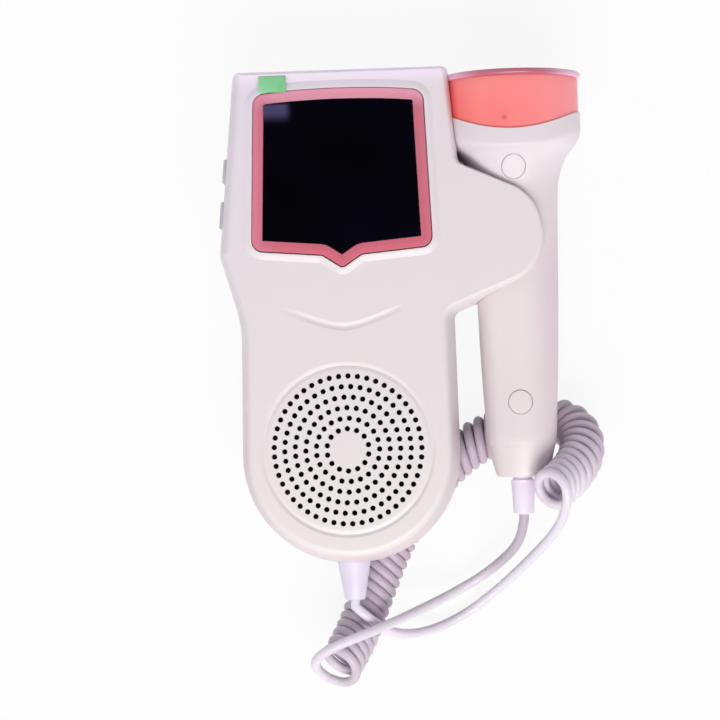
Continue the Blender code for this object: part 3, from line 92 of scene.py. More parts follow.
away = Vector((math.sin(FROM_RIGHT), -math.sin(FROM_BELOW), math.cos(FROM_RIGHT))).normalized()
level_right = Vector((0, 1, 0)).cross(away).normalized()
level_up = away.cross(level_right)
right = level_right * math.cos(CAMERA_LEAN) - level_up * math.sin(CAMERA_LEAN)
up = level_right * math.sin(CAMERA_LEAN) + level_up * math.cos(CAMERA_LEAN)

camera = add_object("camera", bpy.data.cameras.new("camera"))
camera.data.sensor_width = SENSOR
camera.data.lens = SENSOR * DISTANCE / VIEW_WIDTH
camera.data.clip_start = 0.05
turn = Matrix((right, up, away)).transposed().to_4x4()
camera.matrix_world = Matrix.Translation(TARGET + away * DISTANCE) @ turn
bpy.context.scene.camera = camera
bpy.context.scene.view_settings.view_transform = "Standard"
print("lens", round(camera.data.lens, 1), "mm")

# %% [markdown]
# Colours are written as they look on a screen, from 0 to 255, and turned into the linear values that the
# shader wants.

# %% Colours


def paint(red, green, blue):
    """Linear colour of a screen colour."""
    linear = []
    for value in (red, green, blue):
        share = value / 255
        linear.append(share / 12.92 if share <= 0.04045 else ((share + 0.055) / 1.055) ** 2.4)
    return (*linear, 1.0)


print("warm white", [round(v, 3) for v in paint(232, 224, 229)])

# %% [markdown]
# A finish is a small graph of nodes. The graph adds a node and gives its first sockets their values in turn,
# and others by name. Whatever is another node's output is joined to the socket.

# %% A graph of nodes


class Graph:
    """The nodes of a material, or of the world."""

    def __init__(self, owner):
        owner.use_nodes = True
        self.tree = owner.node_tree

    def give(self, socket, value):
        if isinstance(value, bpy.types.NodeSocket):
            self.tree.links.new(value, socket)
        else:
            socket.default_value = value

    def add(self, kind, options=(), *values, **sockets):
        node = self.tree.nodes.new("ShaderNode" + kind)
        for option, value in dict(options).items():
            setattr(node, option, value)
        for socket, value in zip(node.inputs, values):
            self.give(socket, value)
        for name, value in sockets.items():
            self.give(node.inputs[name.replace("_", " ")], value)
        return node

    def maths(self, operation, *values):
        return self.add("Math", {"operation": operation}, *values).outputs[0]

    def mix(self, share, first, second):
        """A mixed colour: the share is how much of the second is in it."""
        node = self.add("Mix", {"data_type": "RGBA"}, share)
        self.give(node.inputs[6], first)
        self.give(node.inputs[7], second)
        return node.outputs[2]

    def span(self, value, low, high, to_low=0.0, to_high=1.0, kind="LINEAR"):
        """The value's way from low to high, turned into the way between two other numbers."""
        options = {"interpolation_type": kind}
        return self.add("MapRange", options, value, low, high, to_low, to_high).outputs[0]

    def fade(self, *numbers):
        """A span that starts and ends softly."""
        return self.span(*numbers, kind="SMOOTHSTEP")


print("graph ready")

# %% [markdown]
# Moulded plastic isn't one even colour: the mould's surface is finely spark-eroded, so the gloss breaks up,
# and the colour drifts a little over the piece. Noises in the object's own coordinates do this, and a tint
# lays a further colour over some part of the piece.

# %% A finish


class Finish(Graph):
    """A material with one shader, whose patterns follow the object's own coordinates."""

    def __init__(self, name, colour, roughness, **sockets):
        self.material = bpy.data.materials.new(name)
        super().__init__(self.material)
        self.shader = self.tree.nodes["Principled BSDF"]
        self.set(Base_Color=colour, Roughness=roughness, **sockets)
        self.where = self.add("TexCoord").outputs["Object"]
        self.x, self.y, self.z = self.add("SeparateXYZ", (), self.where).outputs

    def set(self, **sockets):
        for name, value in sockets.items():
            self.give(self.shader.inputs[name.replace("_", " ")], value)

    def noise(self, scale, detail=2.0):
        return self.add("TexNoise", Vector=self.where, Scale=scale, Detail=detail).outputs["Fac"]

    def from_point(self, point):
        """Distance in metres from a point that is given in millimetres."""
        centre = in_frame(point)
        return self.add("VectorMath", {"operation": "DISTANCE"}, self.where, centre).outputs["Value"]

    def drift(self, first, second, scale=30.0):
        """First colour drifting to the second over a few centimetres."""
        return self.mix(self.span(self.noise(scale), 0.35, 0.65), first, second)

    def tint(self, share, colour):
        """Lays a share of a colour over the colour so far."""
        so_far = self.shader.inputs["Base Color"].links[0].from_socket
        self.set(Base_Color=self.mix(share, so_far, colour))

    def gloss(self, scale, low, high):
        """Roughness that varies finely between two values."""
        self.set(Roughness=self.span(self.noise(scale), 0.3, 0.7, low, high))

    def grain(self, size, depth, strength):
        """Fine texture of the mould, with its size and depth in millimetres."""
        height = self.noise(1 / (size * MM), 3.0)
        bump = self.add("Bump", Strength=strength, Distance=depth * MM, Height=height)
        self.set(Normal=bump.outputs["Normal"])


print("finish ready")

# %% Housing plastic
LILAC_LIGHT_CAST = paint(233, 223, 238)
WARM_WHITE = paint(234, 225, 229)
CREAM_LIGHT_CAST = paint(236, 230, 228)
EDGE_HIGHLIGHT_WHITE = paint(249, 238, 252)
RIM_SHADE_MAUVE = paint(224, 208, 214)


def housing_plastic(name):
    """Warm white with painted light: lilac and cream casts, a highlight on top, shade on the rim."""
    finish = Finish(name, WARM_WHITE, 0.42)
    finish.set(Base_Color=finish.drift(WARM_WHITE, paint(232, 224, 227)))
    # Painted light: a lilac cast towards the screen end and a cream cast at the speaker end.
    slope = finish.maths("MULTIPLY_ADD", finish.x, -0.7, finish.y)
    finish.tint(finish.fade(slope, -0.06, 0.03, 0.0, 0.8), LILAC_LIGHT_CAST)
    finish.tint(finish.fade(finish.y, -0.09, -0.14, 0.0, 0.6), CREAM_LIGHT_CAST)
    # Painted highlight along the top end.
    finish.tint(finish.fade(finish.y, 0.0, 0.0055), EDGE_HIGHLIGHT_WHITE)
    # Painted mauve shade on the rim at the speaker end.
    facing = finish.add("LayerWeight", Blend=0.5).outputs["Facing"]
    speaker_end = finish.fade(finish.y, -0.07, -0.12, 0.0, 0.75)
    finish.tint(finish.maths("MULTIPLY", finish.fade(facing, 0.15, 0.75), speaker_end), RIM_SHADE_MAUVE)
    finish.gloss(900.0, 0.38, 0.47)
    finish.grain(0.30, 0.012, 0.35)
    return finish


front_plastic = housing_plastic("front_housing_plastic")
back_plastic = housing_plastic("back_housing_plastic")
print("housing plastics made")

# %% [markdown]
# The cord comes first among the pieces, because its room decides whether the model can be packed at all. It
# is one vinyl cable: a straight lead from the hand unit's strain relief, a tight left-handed coil behind the
# unit and round the probe's tail, and a straight lead back to the probe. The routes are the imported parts'
# own, and the curls lie closer together than those can be, as on the real cord.

# %% Routes of the cord, in millimetres
COIL_ROUTE = (
    (-5.4, -62.8, 20.8), (-3.6, -59.8, 18.0), (-1.6, -56.6, 15.2), (0.7, -51.8, 12.0),
    (3.6, -44.2, 8.8), (7.9, -33.5, 6.9), (12.9, -23.3, 6.55), (20.2, -12.6, 6.55), (27.7, -5.0, 6.55),
    (34.6, 0.4, 6.55), (41.7, 3.8, 6.55), (49.1, 6.4, 6.55), (56.1, 7.3, 6.7), (60.8, 6.8, 8.0),
    (64.3, 5.1, 10.4), (66.4, 2.3, 13.7), (67.0, -0.9, 17.4), (66.3, -4.1, 21.2), (64.5, -7.1, 24.6),
    (62.0, -9.8, 27.9), (59.3, -11.9, 31.2), (57.2, -13.2, 34.6),
)
UNIT_LEAD_ROUTE = (
    (60.4, -21.3, 27.4), (57.9, -25.6, 22.0), (54.6, -29.1, 17.2), (51.7, -32.3, 13.2),
    (45.6, -38.1, 8.0), (39.6, -43.3, 4.6), (33.4, -48.0, 2.5), (27.2, -51.5, 2.3), (21.1, -53.8, 3.8),
    (15.1, -54.6, 8.2), (11.1, -53.8, 12.8), (8.1, -52.4, 16.6), (5.8, -50.6, 18.9), (3.6, -48.7, 19.9),
    (1.5, -47.1, 20.1),
)
PROBE_LEAD_ROUTE = (
    (48.4, -26.6, 19.2), (46.2, -30.0, 14.4), (42.4, -33.7, 9.4), (36.7, -38.1, 5.2),
    (30.6, -41.6, 4.6), (24.7, -44.4, 7.4), (18.9, -46.9, 12.4), (13.3, -49.2, 17.4),
    (7.5, -51.5, 21.4), (1.3, -53.6, 24.0), (-4.5, -55.8, 25.2), (-9.9, -58.2, 24.4),
    (-12.5, -60.0, 22.2), (-13.3, -62.3, 19.9),
)
print("route points", len(COIL_ROUTE), len(UNIT_LEAD_ROUTE), len(PROBE_LEAD_ROUTE))

# %% Smooth curves along a route


def smooth_route(points, steps):
    """Catmull-Rom curve through the points."""
    points = [np.array(p, dtype=float) for p in points]
    points = [2 * points[0] - points[1], *points, 2 * points[-1] - points[-2]]
    curve = []
    for a, b, c, d in zip(points, points[1:], points[2:], points[3:]):
        for t in np.arange(steps) / steps:
            bend = 2 * b + (c - a) * t + (2 * a - 5 * b + 4 * c - d) * t**2
            curve.append((bend + (3 * b - 3 * c + d - a) * t**3) / 2)
    return np.array([*curve, points[-2]])


def run_length(points):
    return float(np.sum(np.linalg.norm(np.diff(points, axis=0), axis=1)))


def even_points(curve, count):
    """Points at equal distances along the curve."""
    steps = np.linalg.norm(np.diff(curve, axis=0), axis=1)
    run = np.concatenate(([0.0], np.cumsum(steps)))
    wanted = np.linspace(0.0, run[-1], count)
    return np.stack([np.interp(wanted, run, curve[:, k]) for k in range(3)], axis=1)


def eased(points, width):
    """The curve averaged over a width on either side, with its ends kept."""
    before = 2 * points[0] - points[width:0:-1]
    after = 2 * points[-1] - points[-2 : -width - 2 : -1]
    padded = np.concatenate((before, points, after))
    kernel = np.ones(2 * width + 1) / (2 * width + 1)
    return np.stack([np.convolve(padded[:, k], kernel, mode="valid") for k in range(3)], axis=1)


AXIS_POINTS = 1200
EASE_WIDTH = 5.5
coil_axis = even_points(smooth_route(COIL_ROUTE, 40), AXIS_POINTS)
ease = int(EASE_WIDTH * AXIS_POINTS / run_length(coil_axis))
coil_axis = even_points(eased(eased(coil_axis, ease), ease), AXIS_POINTS)
print("coil axis", round(run_length(coil_axis), 1), "mm")

# %% The coil's curls
CORD_RADIUS = 1.4
CURL_RADIUS = 5.2
CURL_GAP = 0.05
FIRST_ANGLE = math.pi / 2
COIL_TAIL = 0.6
COIL_LEAN = -0.28
BEND_SHARE = 0.7
BEND_LIMIT = 0.22
OPEN_START = 0.45
OPEN_LENGTH = 6.0


def carried_frames(points):
    """Tangents and a pair of side directions carried along the curve without twist."""
    tangents = np.gradient(points, axis=0)
    tangents /= np.linalg.norm(tangents, axis=1)[:, None]
    side = np.cross(tangents[0], (0.0, 0.0, 1.0))
    sides = []
    for tangent in tangents:
        side = side - tangent * np.dot(side, tangent)
        side /= np.linalg.norm(side)
        sides.append(side)
    sides = np.array(sides)
    return tangents, sides, np.cross(tangents, sides)


def curl_room(points, spacing, tangents):
    """Room for one curl at each point, wider where the coil bends."""
    bend = np.linalg.norm(np.gradient(tangents, axis=0), axis=1) / spacing
    width = max(3, int(2 * CURL_RADIUS / spacing))
    padded = np.pad(bend, width, mode="edge")
    bend = np.convolve(padded, np.ones(width) / width, mode="same")[width:-width]
    return (2 * CORD_RADIUS + CURL_GAP) / (1.0 - np.minimum(bend * CURL_RADIUS * BEND_SHARE, BEND_LIMIT))


spacing = run_length(coil_axis) / (AXIS_POINTS - 1)
tangents, sides, others = carried_frames(coil_axis)
room = curl_room(coil_axis, spacing, tangents)
room *= 1.0 + OPEN_START * np.maximum(0.0, 1.0 - spacing * np.arange(AXIS_POINTS) / OPEN_LENGTH)
turns = np.concatenate(([0.0], np.cumsum(spacing / room[1:])))
last = math.atan2(others[-1][0], sides[-1][0])
over = (FIRST_ANGLE - last) / (2 * math.pi) % 1.0
turns *= (math.floor(turns[-1] - over) + over) / turns[-1]
print("curls", round(turns[-1], 1))

# %% The coil's centre line
STEPS_PER_CURL = 24
LOOSE_START = 0.34
LOOSE_TURNS = 0.3
LEAN_TURNS = 2.0


def helix_point(turn):
    """Point of the helix; the curls lean a little, as in a coil that is laid in a bend."""
    at = np.interp(turn, turns, np.arange(AXIS_POINTS))
    low = min(int(at), AXIS_POINTS - 2)
    part = at - low
    tables = (coil_axis, sides, others, tangents)
    centre, side, other, ahead = (a[low] * (1 - part) + a[low + 1] * part for a in tables)
    angle = FIRST_ANGLE - 2 * math.pi * turn
    loose = 1.0 + LOOSE_START * (1.0 + math.cos(math.pi * min(turn / LOOSE_TURNS, 1.0))) / 2
    arm = CURL_RADIUS * loose * (side * math.cos(angle) + other * math.sin(angle))
    level = np.array((ahead[1], -ahead[0], 0.0))
    lean = COIL_LEAN * min(turn / LEAN_TURNS, (turns[-1] - turn) / LEAN_TURNS, 1.0)
    return centre + arm + ahead * lean * np.dot(arm, level)


def unit_vector(vector):
    return vector / np.linalg.norm(vector)


steps = int(turns[-1] * STEPS_PER_CURL) + 1
coil_line = [helix_point(turn) for turn in np.linspace(0.0, turns[-1], steps)]
out_left = unit_vector(coil_line[0] - coil_line[1])
out_right = unit_vector(coil_line[-1] - coil_line[-2])
left_end = coil_line[0] + out_left * COIL_TAIL
right_end = coil_line[-1] + out_right * COIL_TAIL
coil_line = np.array([left_end, *coil_line, right_end])
print("coil cord", round(run_length(coil_line)), "mm")

# %% The straight leads
UNIT_LEAD_END = (0.0, -42.5, 20.0)
PROBE_LEAD_END = (PROBE_X, -18.5, PROBE_Z)
OUT_OF_BOOT = (0.0, -2.8, 0.0)
LEAD_STEP = 0.9


def lead_line(start, start_way, route, end, end_way):
    """Smooth line between two ends; a way leads straight out of an end."""
    first = np.array(start, dtype=float)
    last = np.array(end, dtype=float)
    second = first + np.array(start_way)
    before = last + np.array(end_way)
    middle = smooth_route([second, *route, before], 20)
    middle = even_points(middle, int(run_length(middle) / LEAD_STEP))
    for _ in range(3):
        middle = eased(middle, 4)
    return np.array([first, *middle, last])


unit_line = lead_line(right_end, out_right * COIL_TAIL, UNIT_LEAD_ROUTE, UNIT_LEAD_END, OUT_OF_BOOT)
probe_line = lead_line(PROBE_LEAD_END, OUT_OF_BOOT, PROBE_LEAD_ROUTE, left_end, out_left * COIL_TAIL)
print("leads", round(run_length(unit_line)), round(run_length(probe_line)), "mm")

# %% [markdown]
# The cable's jacket is soft vinyl: a lilac white with a low, even sheen and hardly any grain. The coil is
# painted darker, a mauve grey that is deepest on its lower side, as painted shade; so is the lead by the
# probe's strain relief.

# %% Vinyl for the cord and its strain reliefs
CORD_COLOUR = paint(233, 226, 238)
CORD_SECOND = paint(228, 219, 232)
CORD_DRIFT = 60.0


def vinyl(name, colour, second, roughness=0.36):
    finish = Finish(name, colour, roughness, Specular_IOR_Level=0.45)
    finish.set(Base_Color=finish.drift(colour, second, CORD_DRIFT))
    finish.gloss(500.0, roughness - 0.04, roughness + 0.06)
    finish.grain(0.6, 0.02, 0.25)
    return finish


cord_vinyl = vinyl("cord_vinyl", CORD_COLOUR, CORD_SECOND)
lead_vinyl = vinyl("probe_lead_vinyl", CORD_COLOUR, CORD_SECOND)
# Painted shade: the lead is darkened towards the probe's strain relief.
from_boot = lead_vinyl.from_point(PROBE_LEAD_END)
lead_vinyl.tint(lead_vinyl.fade(from_boot, 0.018, 0.034, 0.85, 0.0), paint(186, 173, 186))
# Painted shade: the coil is a darker copy of the cord's vinyl, darker still low down.
shaded_coil_vinyl = vinyl("shaded_coil_vinyl", paint(215, 203, 216), paint(208, 195, 208))
shaded_coil_vinyl.tint(shaded_coil_vinyl.fade(shaded_coil_vinyl.z, 0.004, 0.028, 0.9, 0.0), paint(188, 172, 187))
# Near its two ends the painted shade fades back to the unshaded vinyl.
unshaded_vinyl = shaded_coil_vinyl.drift(CORD_COLOUR, CORD_SECOND, CORD_DRIFT)
for end, reach in ((coil_line[0], 0.008), (coil_line[-1], 0.020)):
    shaded_coil_vinyl.tint(shaded_coil_vinyl.fade(shaded_coil_vinyl.from_point(end), 0.0015, reach, 1.0, 0.0), unshaded_vinyl)
print("vinyl made")

# %% [markdown]
# Each run is a round tube along its centre line. The lead to the probe is made a mesh.

# %% Cord pieces


def cord_curve(name, line, finish=cord_vinyl):
    data = bpy.data.curves.new(name, "CURVE")
    data.dimensions = "3D"
    data.bevel_depth = CORD_RADIUS * MM
    data.bevel_resolution = 5
    data.use_fill_caps = True
    spline = data.splines.new("POLY")
    spline.points.add(len(line) - 1)
    for target, point in zip(spline.points, line):
        target.co = (*in_frame(point), 1.0)
    data.materials.append(finish.material)
    return add_object(name, data)


def as_mesh(curve):
    """The curve's tube as a mesh object of the same name."""
    name = curve.name
    graph = bpy.context.evaluated_depsgraph_get()
    mesh = bpy.data.meshes.new_from_object(curve.evaluated_get(graph))
    bpy.data.objects.remove(curve)
    mesh.shade_smooth()
    return add_object(name, mesh)


coil = cord_curve("curly_cord", coil_line, shaded_coil_vinyl)
unit_lead = cord_curve("lead_to_hand_unit", unit_line)
probe_lead = as_mesh(cord_curve("lead_to_probe", probe_line, lead_vinyl))
for piece, node in ((coil, "cord_coil"), (unit_lead, "cord_unit_lead"), (probe_lead, "cord_probe_lead")):
    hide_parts(node)
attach(coil, "hand_unit")
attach(unit_lead, "hand_unit")
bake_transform(probe_lead)
print("cord pieces placed")

# %% End of the cord


# %% [markdown]
# The floor is a plain white table. For the camera most of it glows at exactly white, as a studio table lit
# from below does, and the rest takes the product's faint shadow. The room is a light tent: bright all round
# and dim overhead, where the camera looks through, so the dark screen stays dark.

# %% Floor
FLOOR_GLOW = 0.90
floor_mesh = bpy.data.meshes.new("floor")
floor_bm = bmesh.new()
bmesh.ops.create_circle(floor_bm, cap_ends=True, segments=96, radius=4.0)
bmesh.ops.translate(floor_bm, vec=(0, 0, -0.0002), verts=floor_bm.verts)
floor_bm.to_mesh(floor_mesh)
floor_bm.free()
floor = add_object("floor", floor_mesh)

floor_paint = Finish("floor_paint", paint(243, 240, 246), 0.9, Specular_IOR_Level=0.0)
rays = floor_paint.add("LightPath").outputs
seen = floor_paint.maths("MAXIMUM", rays["Is Camera Ray"], rays["Is Glossy Ray"])
seen = floor_paint.maths("MAXIMUM", seen, rays["Is Transmission Ray"])
share = floor_paint.maths("MULTIPLY", seen, FLOOR_GLOW)
glow = floor_paint.add("Emission", Color=(1, 1, 1, 1), Strength=1.0)
both = floor_paint.add("MixShader", (), share, floor_paint.shader.outputs[0], glow.outputs[0])
floor_paint.give(floor_paint.tree.nodes["Material Output"].inputs["Surface"], both.outputs[0])
floor_mesh.materials.append(floor_paint.material)
print("floor ready")

# %% World
world = bpy.data.worlds.new("light_tent")
bpy.context.scene.world = world
tent = Graph(world)
direction = tent.add("TexCoord").outputs["Generated"]
height = tent.add("SeparateXYZ", (), direction).outputs[2]
rays = tent.add("LightPath").outputs
looks = tent.maths("MAXIMUM", rays["Is Camera Ray"], rays["Is Transmission Ray"])
background = tent.tree.nodes["Background"]
tent.give(background.inputs["Color"], (1, 1, 1, 1))
brightness = tent.fade(height, 0.55, 0.93, 0.34, 0.06)
tent.give(background.inputs["Strength"], tent.maths("MAXIMUM", looks, brightness))
print("world ready")

# %% Lamps
LAMP_AIM = Vector((0, -0.05, 0))


def softbox(name, place, width, depth, power, colour):
    data = bpy.data.lights.new(name, "AREA")
    data.shape = "RECTANGLE"
    data.size = width
    data.size_y = depth
    data.energy = power
    data.color = colour
    lamp = add_object(name, data)
    lamp.location = place
    lamp.rotation_mode = "QUATERNION"
    lamp.rotation_quaternion = (LAMP_AIM - Vector(place)).to_track_quat("-Z", "Y")


softbox("box_below", (0.12, -0.85, 1.00), 1.0, 0.6, 14.0, (1.0, 0.99, 0.97))
softbox("box_above", (-0.25, 0.95, 0.70), 1.0, 0.5, 2.6, (0.98, 0.95, 1.0))
softbox("box_left", (-1.10, 0.05, 0.80), 0.7, 0.7, 2.2, (0.985, 0.97, 1.0))
softbox("box_right", (1.05, 0.45, 0.42), 0.8, 0.5, 1.5, (0.99, 0.96, 1.0))
print("lamps ready")

# %% [markdown]
# Every piece below is drawn in a bmesh in millimetres. This helper turns it into an object: it scales the
# mesh to metres, moves it to its place, shades it smooth with sharp edges where the faces turn more than an
# angle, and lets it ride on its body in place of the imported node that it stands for.

# %% From a bmesh to a piece


def piece_from(name, bm, finish, body, node, crease=32, even=False):
    bmesh.ops.scale(bm, vec=(MM, MM, MM), verts=bm.verts)
    bmesh.ops.translate(bm, vec=GRILLE, verts=bm.verts)
    mesh = bpy.data.meshes.new(name)
    bm.to_mesh(mesh)
    bm.free()
    mesh.materials.append(finish.material)
    mesh.shade_smooth()
    mesh.set_sharp_from_angle(angle=math.radians(crease))
    piece = add_object(name, mesh)
    if even:
        modifier = piece.modifiers.new("even_normals", "WEIGHTED_NORMAL")
        modifier.weight = 100
        modifier.keep_sharp = True
    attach(piece, body)
    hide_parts(node)
    print(name, len(mesh.polygons), "faces")


# %% [markdown]
# The housing's outline is ten straight sides with a rounded corner between each pair. A ring of it is drawn
# as a flat face with ten corners, and each corner is then rounded with a vertex bevel. Rings at different
# heights, each moved inwards a little, are skinned into the moulded side and its soft edge. Some sides have
# a crisper edge than others, so each has its own share of the inset.

# %% Rings of an outline


def scaled(corners, half, long):
    """Corners (x, y, rounding), which are written as shares of a half width and, along y, of a length."""
    return [(x * half, y * long, rounding * half) for x, y, rounding in corners]


def side_lines(corners, shares, inset):
    lines = []
    for i, start in enumerate(corners):
        end = corners[(i + 1) % len(corners)]
        along = Vector((end[0] - start[0], end[1] - start[1])).normalized()
        inwards = Vector((-along.y, along.x))
        lines.append((Vector(start[:2]) + inwards * inset * shares[i], along))
    return lines


def outline_ring(bm, corners, inset, height, shares=None, steps=14):
    """Vertices of the outline's ring at a height, drawn inwards by the inset, from the first side on."""
    shares = shares or [1.0] * len(corners)
    lines = side_lines(corners, shares, inset)
    before = set(bm.verts)
    tips, widths = [], []
    for i, corner in enumerate(corners):
        (p, d), (q, e) = lines[i - 1], lines[i]
        tip = p + d * ((q - p).cross(e) / d.cross(e))
        turn = math.atan2(d.cross(e), d.dot(e))
        moved = inset * (shares[i - 1] + shares[i]) / 2
        radius = max(corner[2] - moved, 0.12) if turn > 0 else corner[2] + moved
        tips.append(bm.verts.new((tip.x, tip.y, height)))
        widths.append(radius * math.tan(abs(turn) / 2))
    bm.faces.new(tips)
    for tip, width, corner in zip(tips, widths, corners):
        count = steps if corner[2] > 5 else max(4, steps // 2)
        rounding = {"offset": width, "segments": count, "profile": 0.5}
        bmesh.ops.bevel(bm, geom=[tip], offset_type="OFFSET", affect="VERTICES", material=-1, **rounding)
    drawn = next(face for vert in bm.verts if vert not in before for face in vert.link_faces)
    ring = [loop.vert for loop in drawn.loops]
    if drawn.normal.z < 0:
        ring.reverse()
    bmesh.ops.delete(bm, geom=[drawn], context="FACES_ONLY")
    point, along = lines[0]
    first_side = [vert for vert in ring if abs((vert.co.xy - point).cross(along)) < 0.001]
    start = ring.index(min(first_side, key=lambda vert: (vert.co.xy - point).dot(along)))
    return ring[start:] + ring[:start]


def skin(bm, rings, closed=False):
    """Faces from each ring to the next, with the ends filled or the last ring joined to the first."""
    pairs = list(zip(rings, rings[1:])) + [(rings[-1], rings[0])] * closed
    for low, high in pairs:
        for i in range(len(low)):
            bm.faces.new((low[i - 1], low[i], high[i], high[i - 1]))
    if not closed:
        bm.faces.new(rings[0])
        bm.faces.new(rings[-1])
    bmesh.ops.recalc_face_normals(bm, faces=bm.faces)
    return bm


def outline_solid(corners, levels, shares=None, steps=14):
    bm = bmesh.new()
    return skin(bm, [outline_ring(bm, corners, inset, height, shares, steps) for inset, height in levels])


def bridge_rings(bm, rings, closed=False):
    """Bridges loops of edges in order, and fills the ends or joins the last to the first."""
    for low, high in zip(rings, rings[1:]):
        bmesh.ops.bridge_loops(bm, edges=low + high)
    if closed:
        bmesh.ops.bridge_loops(bm, edges=rings[-1] + rings[0])
    else:
        bmesh.ops.edgeloop_fill(bm, edges=rings[0])
        bmesh.ops.edgeloop_fill(bm, edges=rings[-1])
    bmesh.ops.recalc_face_normals(bm, faces=bm.faces)
    return bm


# %% Cutting and joining


def combine(bm, tool, operation="DIFFERENCE"):
    """Exact Boolean of two solids; both are used up and a new bmesh comes back."""
    blanks = []
    for part in (bm, tool):
        mesh = bpy.data.meshes.new("blank")
        part.to_mesh(mesh)
        part.free()
        blanks.append(add_object("blank", mesh))
    modifier = blanks[0].modifiers.new("combine", "BOOLEAN")
    modifier.operation = operation
    modifier.solver = "EXACT"
    modifier.object = blanks[1]
    graph = bpy.context.evaluated_depsgraph_get()
    mesh = bpy.data.meshes.new_from_object(blanks[0].evaluated_get(graph))
    result = bmesh.new()
    result.from_mesh(mesh)
    bpy.data.meshes.remove(mesh)
    for blank in blanks:
        data = blank.data
        bpy.data.objects.remove(blank)
        bpy.data.meshes.remove(data)
    bmesh.ops.remove_doubles(result, verts=result.verts, dist=0.001)
    return result


# %% Boxes, rods and turned solids


def block(low, high):
    bm = bmesh.new()
    bmesh.ops.create_cube(bm, size=1.0)
    bmesh.ops.scale(bm, vec=Vector(high) - Vector(low), verts=bm.verts)
    bmesh.ops.translate(bm, vec=(Vector(high) + Vector(low)) / 2, verts=bm.verts)
    return bm


def soften(bm, width, segments=3, angle=50):
    """Bevels the edges that turn more than an angle."""
    sharp = [e for e in bm.edges if e.is_manifold and e.calc_face_angle() > math.radians(angle)]
    sizes = {"offset": width, "segments": segments, "profile": 0.5, "clamp_overlap": True}
    bmesh.ops.bevel(bm, geom=sharp, affect="EDGES", material=-1, **sizes)
    return bm


def turned(profile, centre, axis=(0, 0, 1), steps=48):
    """Spins (radius, distance) points about the axis through the centre."""
    axis = Vector(axis)
    side = Vector((1, 0, 0)) if abs(axis.x) < 0.9 else Vector((0, 0, 1))
    bm = bmesh.new()
    verts = [bm.verts.new(Vector(centre) + axis * along + side * radius) for radius, along in profile]
    edges = [bm.edges.new(pair) for pair in zip(verts, verts[1:])]
    if profile[0][0] > 0:
        edges.append(bm.edges.new((verts[-1], verts[0])))
    whole = {"angle": 2 * math.pi, "steps": steps, "use_merge": True, "use_duplicate": False}
    bmesh.ops.spin(bm, geom=verts + edges, cent=centre, axis=axis, **whole)
    bmesh.ops.remove_doubles(bm, verts=bm.verts, dist=0.0005)
    bmesh.ops.recalc_face_normals(bm, faces=bm.faces)
    return bm


def rod(radius, start, end, steps=32):
    start, end = Vector(start), Vector(end)
    length = (end - start).length
    profile = ((0, 0), (radius, 0), (radius, length), (0, length))
    return turned(profile, start, (end - start) / length, steps)


def gather(parts):
    """Puts several solids in one bmesh."""
    bm = bmesh.new()
    for part in parts:
        mesh = bpy.data.meshes.new("blank")
        part.to_mesh(mesh)
        part.free()
        bm.from_mesh(mesh)
        bpy.data.meshes.remove(mesh)
    return bm


# %% [markdown]
# The probe decides the shape of its holster, so its outline comes next: an oval handle that widens into a
# round head. Its half widths are read off the photograph, and a smooth curve through them gives as many
# rings as are wanted.

# %% The probe's outline
PROBE_REACH = 106.2
HEAD_RADIUS = 19.4
FLATNESS = 0.87
NECK = (0.683, 0.857)
MOUTH = (71, 92)
HOLSTER_GAP = 0.35
HOLSTER_END = 113.0
HANDLE_WIDTHS = (
    (-0.0075, 0.492), (0.024, 0.521), (0.094, 0.536), (0.202, 0.567), (0.372, 0.598), (0.546, 0.619),
    (0.683, 0.639), (0.725, 0.675), (0.763, 0.747), (0.787, 0.835), (0.810, 0.933), (0.833, 0.985),
    (0.857, 1.000), (0.900, 1.000),
)
handle_curve = smooth_route(HANDLE_WIDTHS, 5) * (PROBE_REACH, HEAD_RADIUS)


def half_width(y):
    return float(np.interp(y, handle_curve[:, 0], handle_curve[:, 1]))


def share_of_way(value, low, high):
    """How far a value has come from low to high, kept between 0 and 1."""
    return min(max((value - low) / (high - low), 0.0), 1.0)


def smoothstep(value, low, high):
    part = share_of_way(value, low, high)
    return part * part * (3.0 - 2.0 * part)


def flatness(y):
    """The oval's height over its width: the handle is flatter than the round head."""
    return FLATNESS + (1.0 - FLATNESS) * smoothstep(y / PROBE_REACH, *NECK)


def oval_ring(bm, y, width, height, steps=72):
    """Edges of an oval ring square to the probe's axis."""
    turn = Matrix(((width, 0, 0, PROBE_X), (0, 0, 1, y), (0, height, 0, PROBE_Z), (0, 0, 0, 1)))
    made = bmesh.ops.create_circle(bm, segments=steps, radius=1.0, matrix=turn)
    return list({edge for vert in made["verts"] for edge in vert.link_edges})


def handle_solid(grow, end=None, mouth=0.0):
    """The handle's outer form, grown by a clearance; with an end, the head runs on to it. The mouth widens
    it by that much more, most at the middle of MOUTH.
    """
    bm = bmesh.new()
    rings = []
    for y, width in handle_curve:
        room = grow + mouth * math.sin(math.pi * share_of_way(y, *MOUTH)) ** 2
        rings.append(oval_ring(bm, y, width + room, width * flatness(y) + room))
    if end is not None:
        rings.append(oval_ring(bm, end, HEAD_RADIUS + grow, HEAD_RADIUS + grow))
    return bridge_rings(bm, rings)


print("handle", round(2 * half_width(40), 1), "mm across at its middle")

# %% [markdown]
# The front housing is the main moulded piece. It starts as the stacked outline, is hollowed, and gets the
# low raised field round the screen by a join. Cuts then make the holster, the screen's pocket, the speaker
# dish with its 189 holes, the vee crease and the openings at the side and the cord's end.

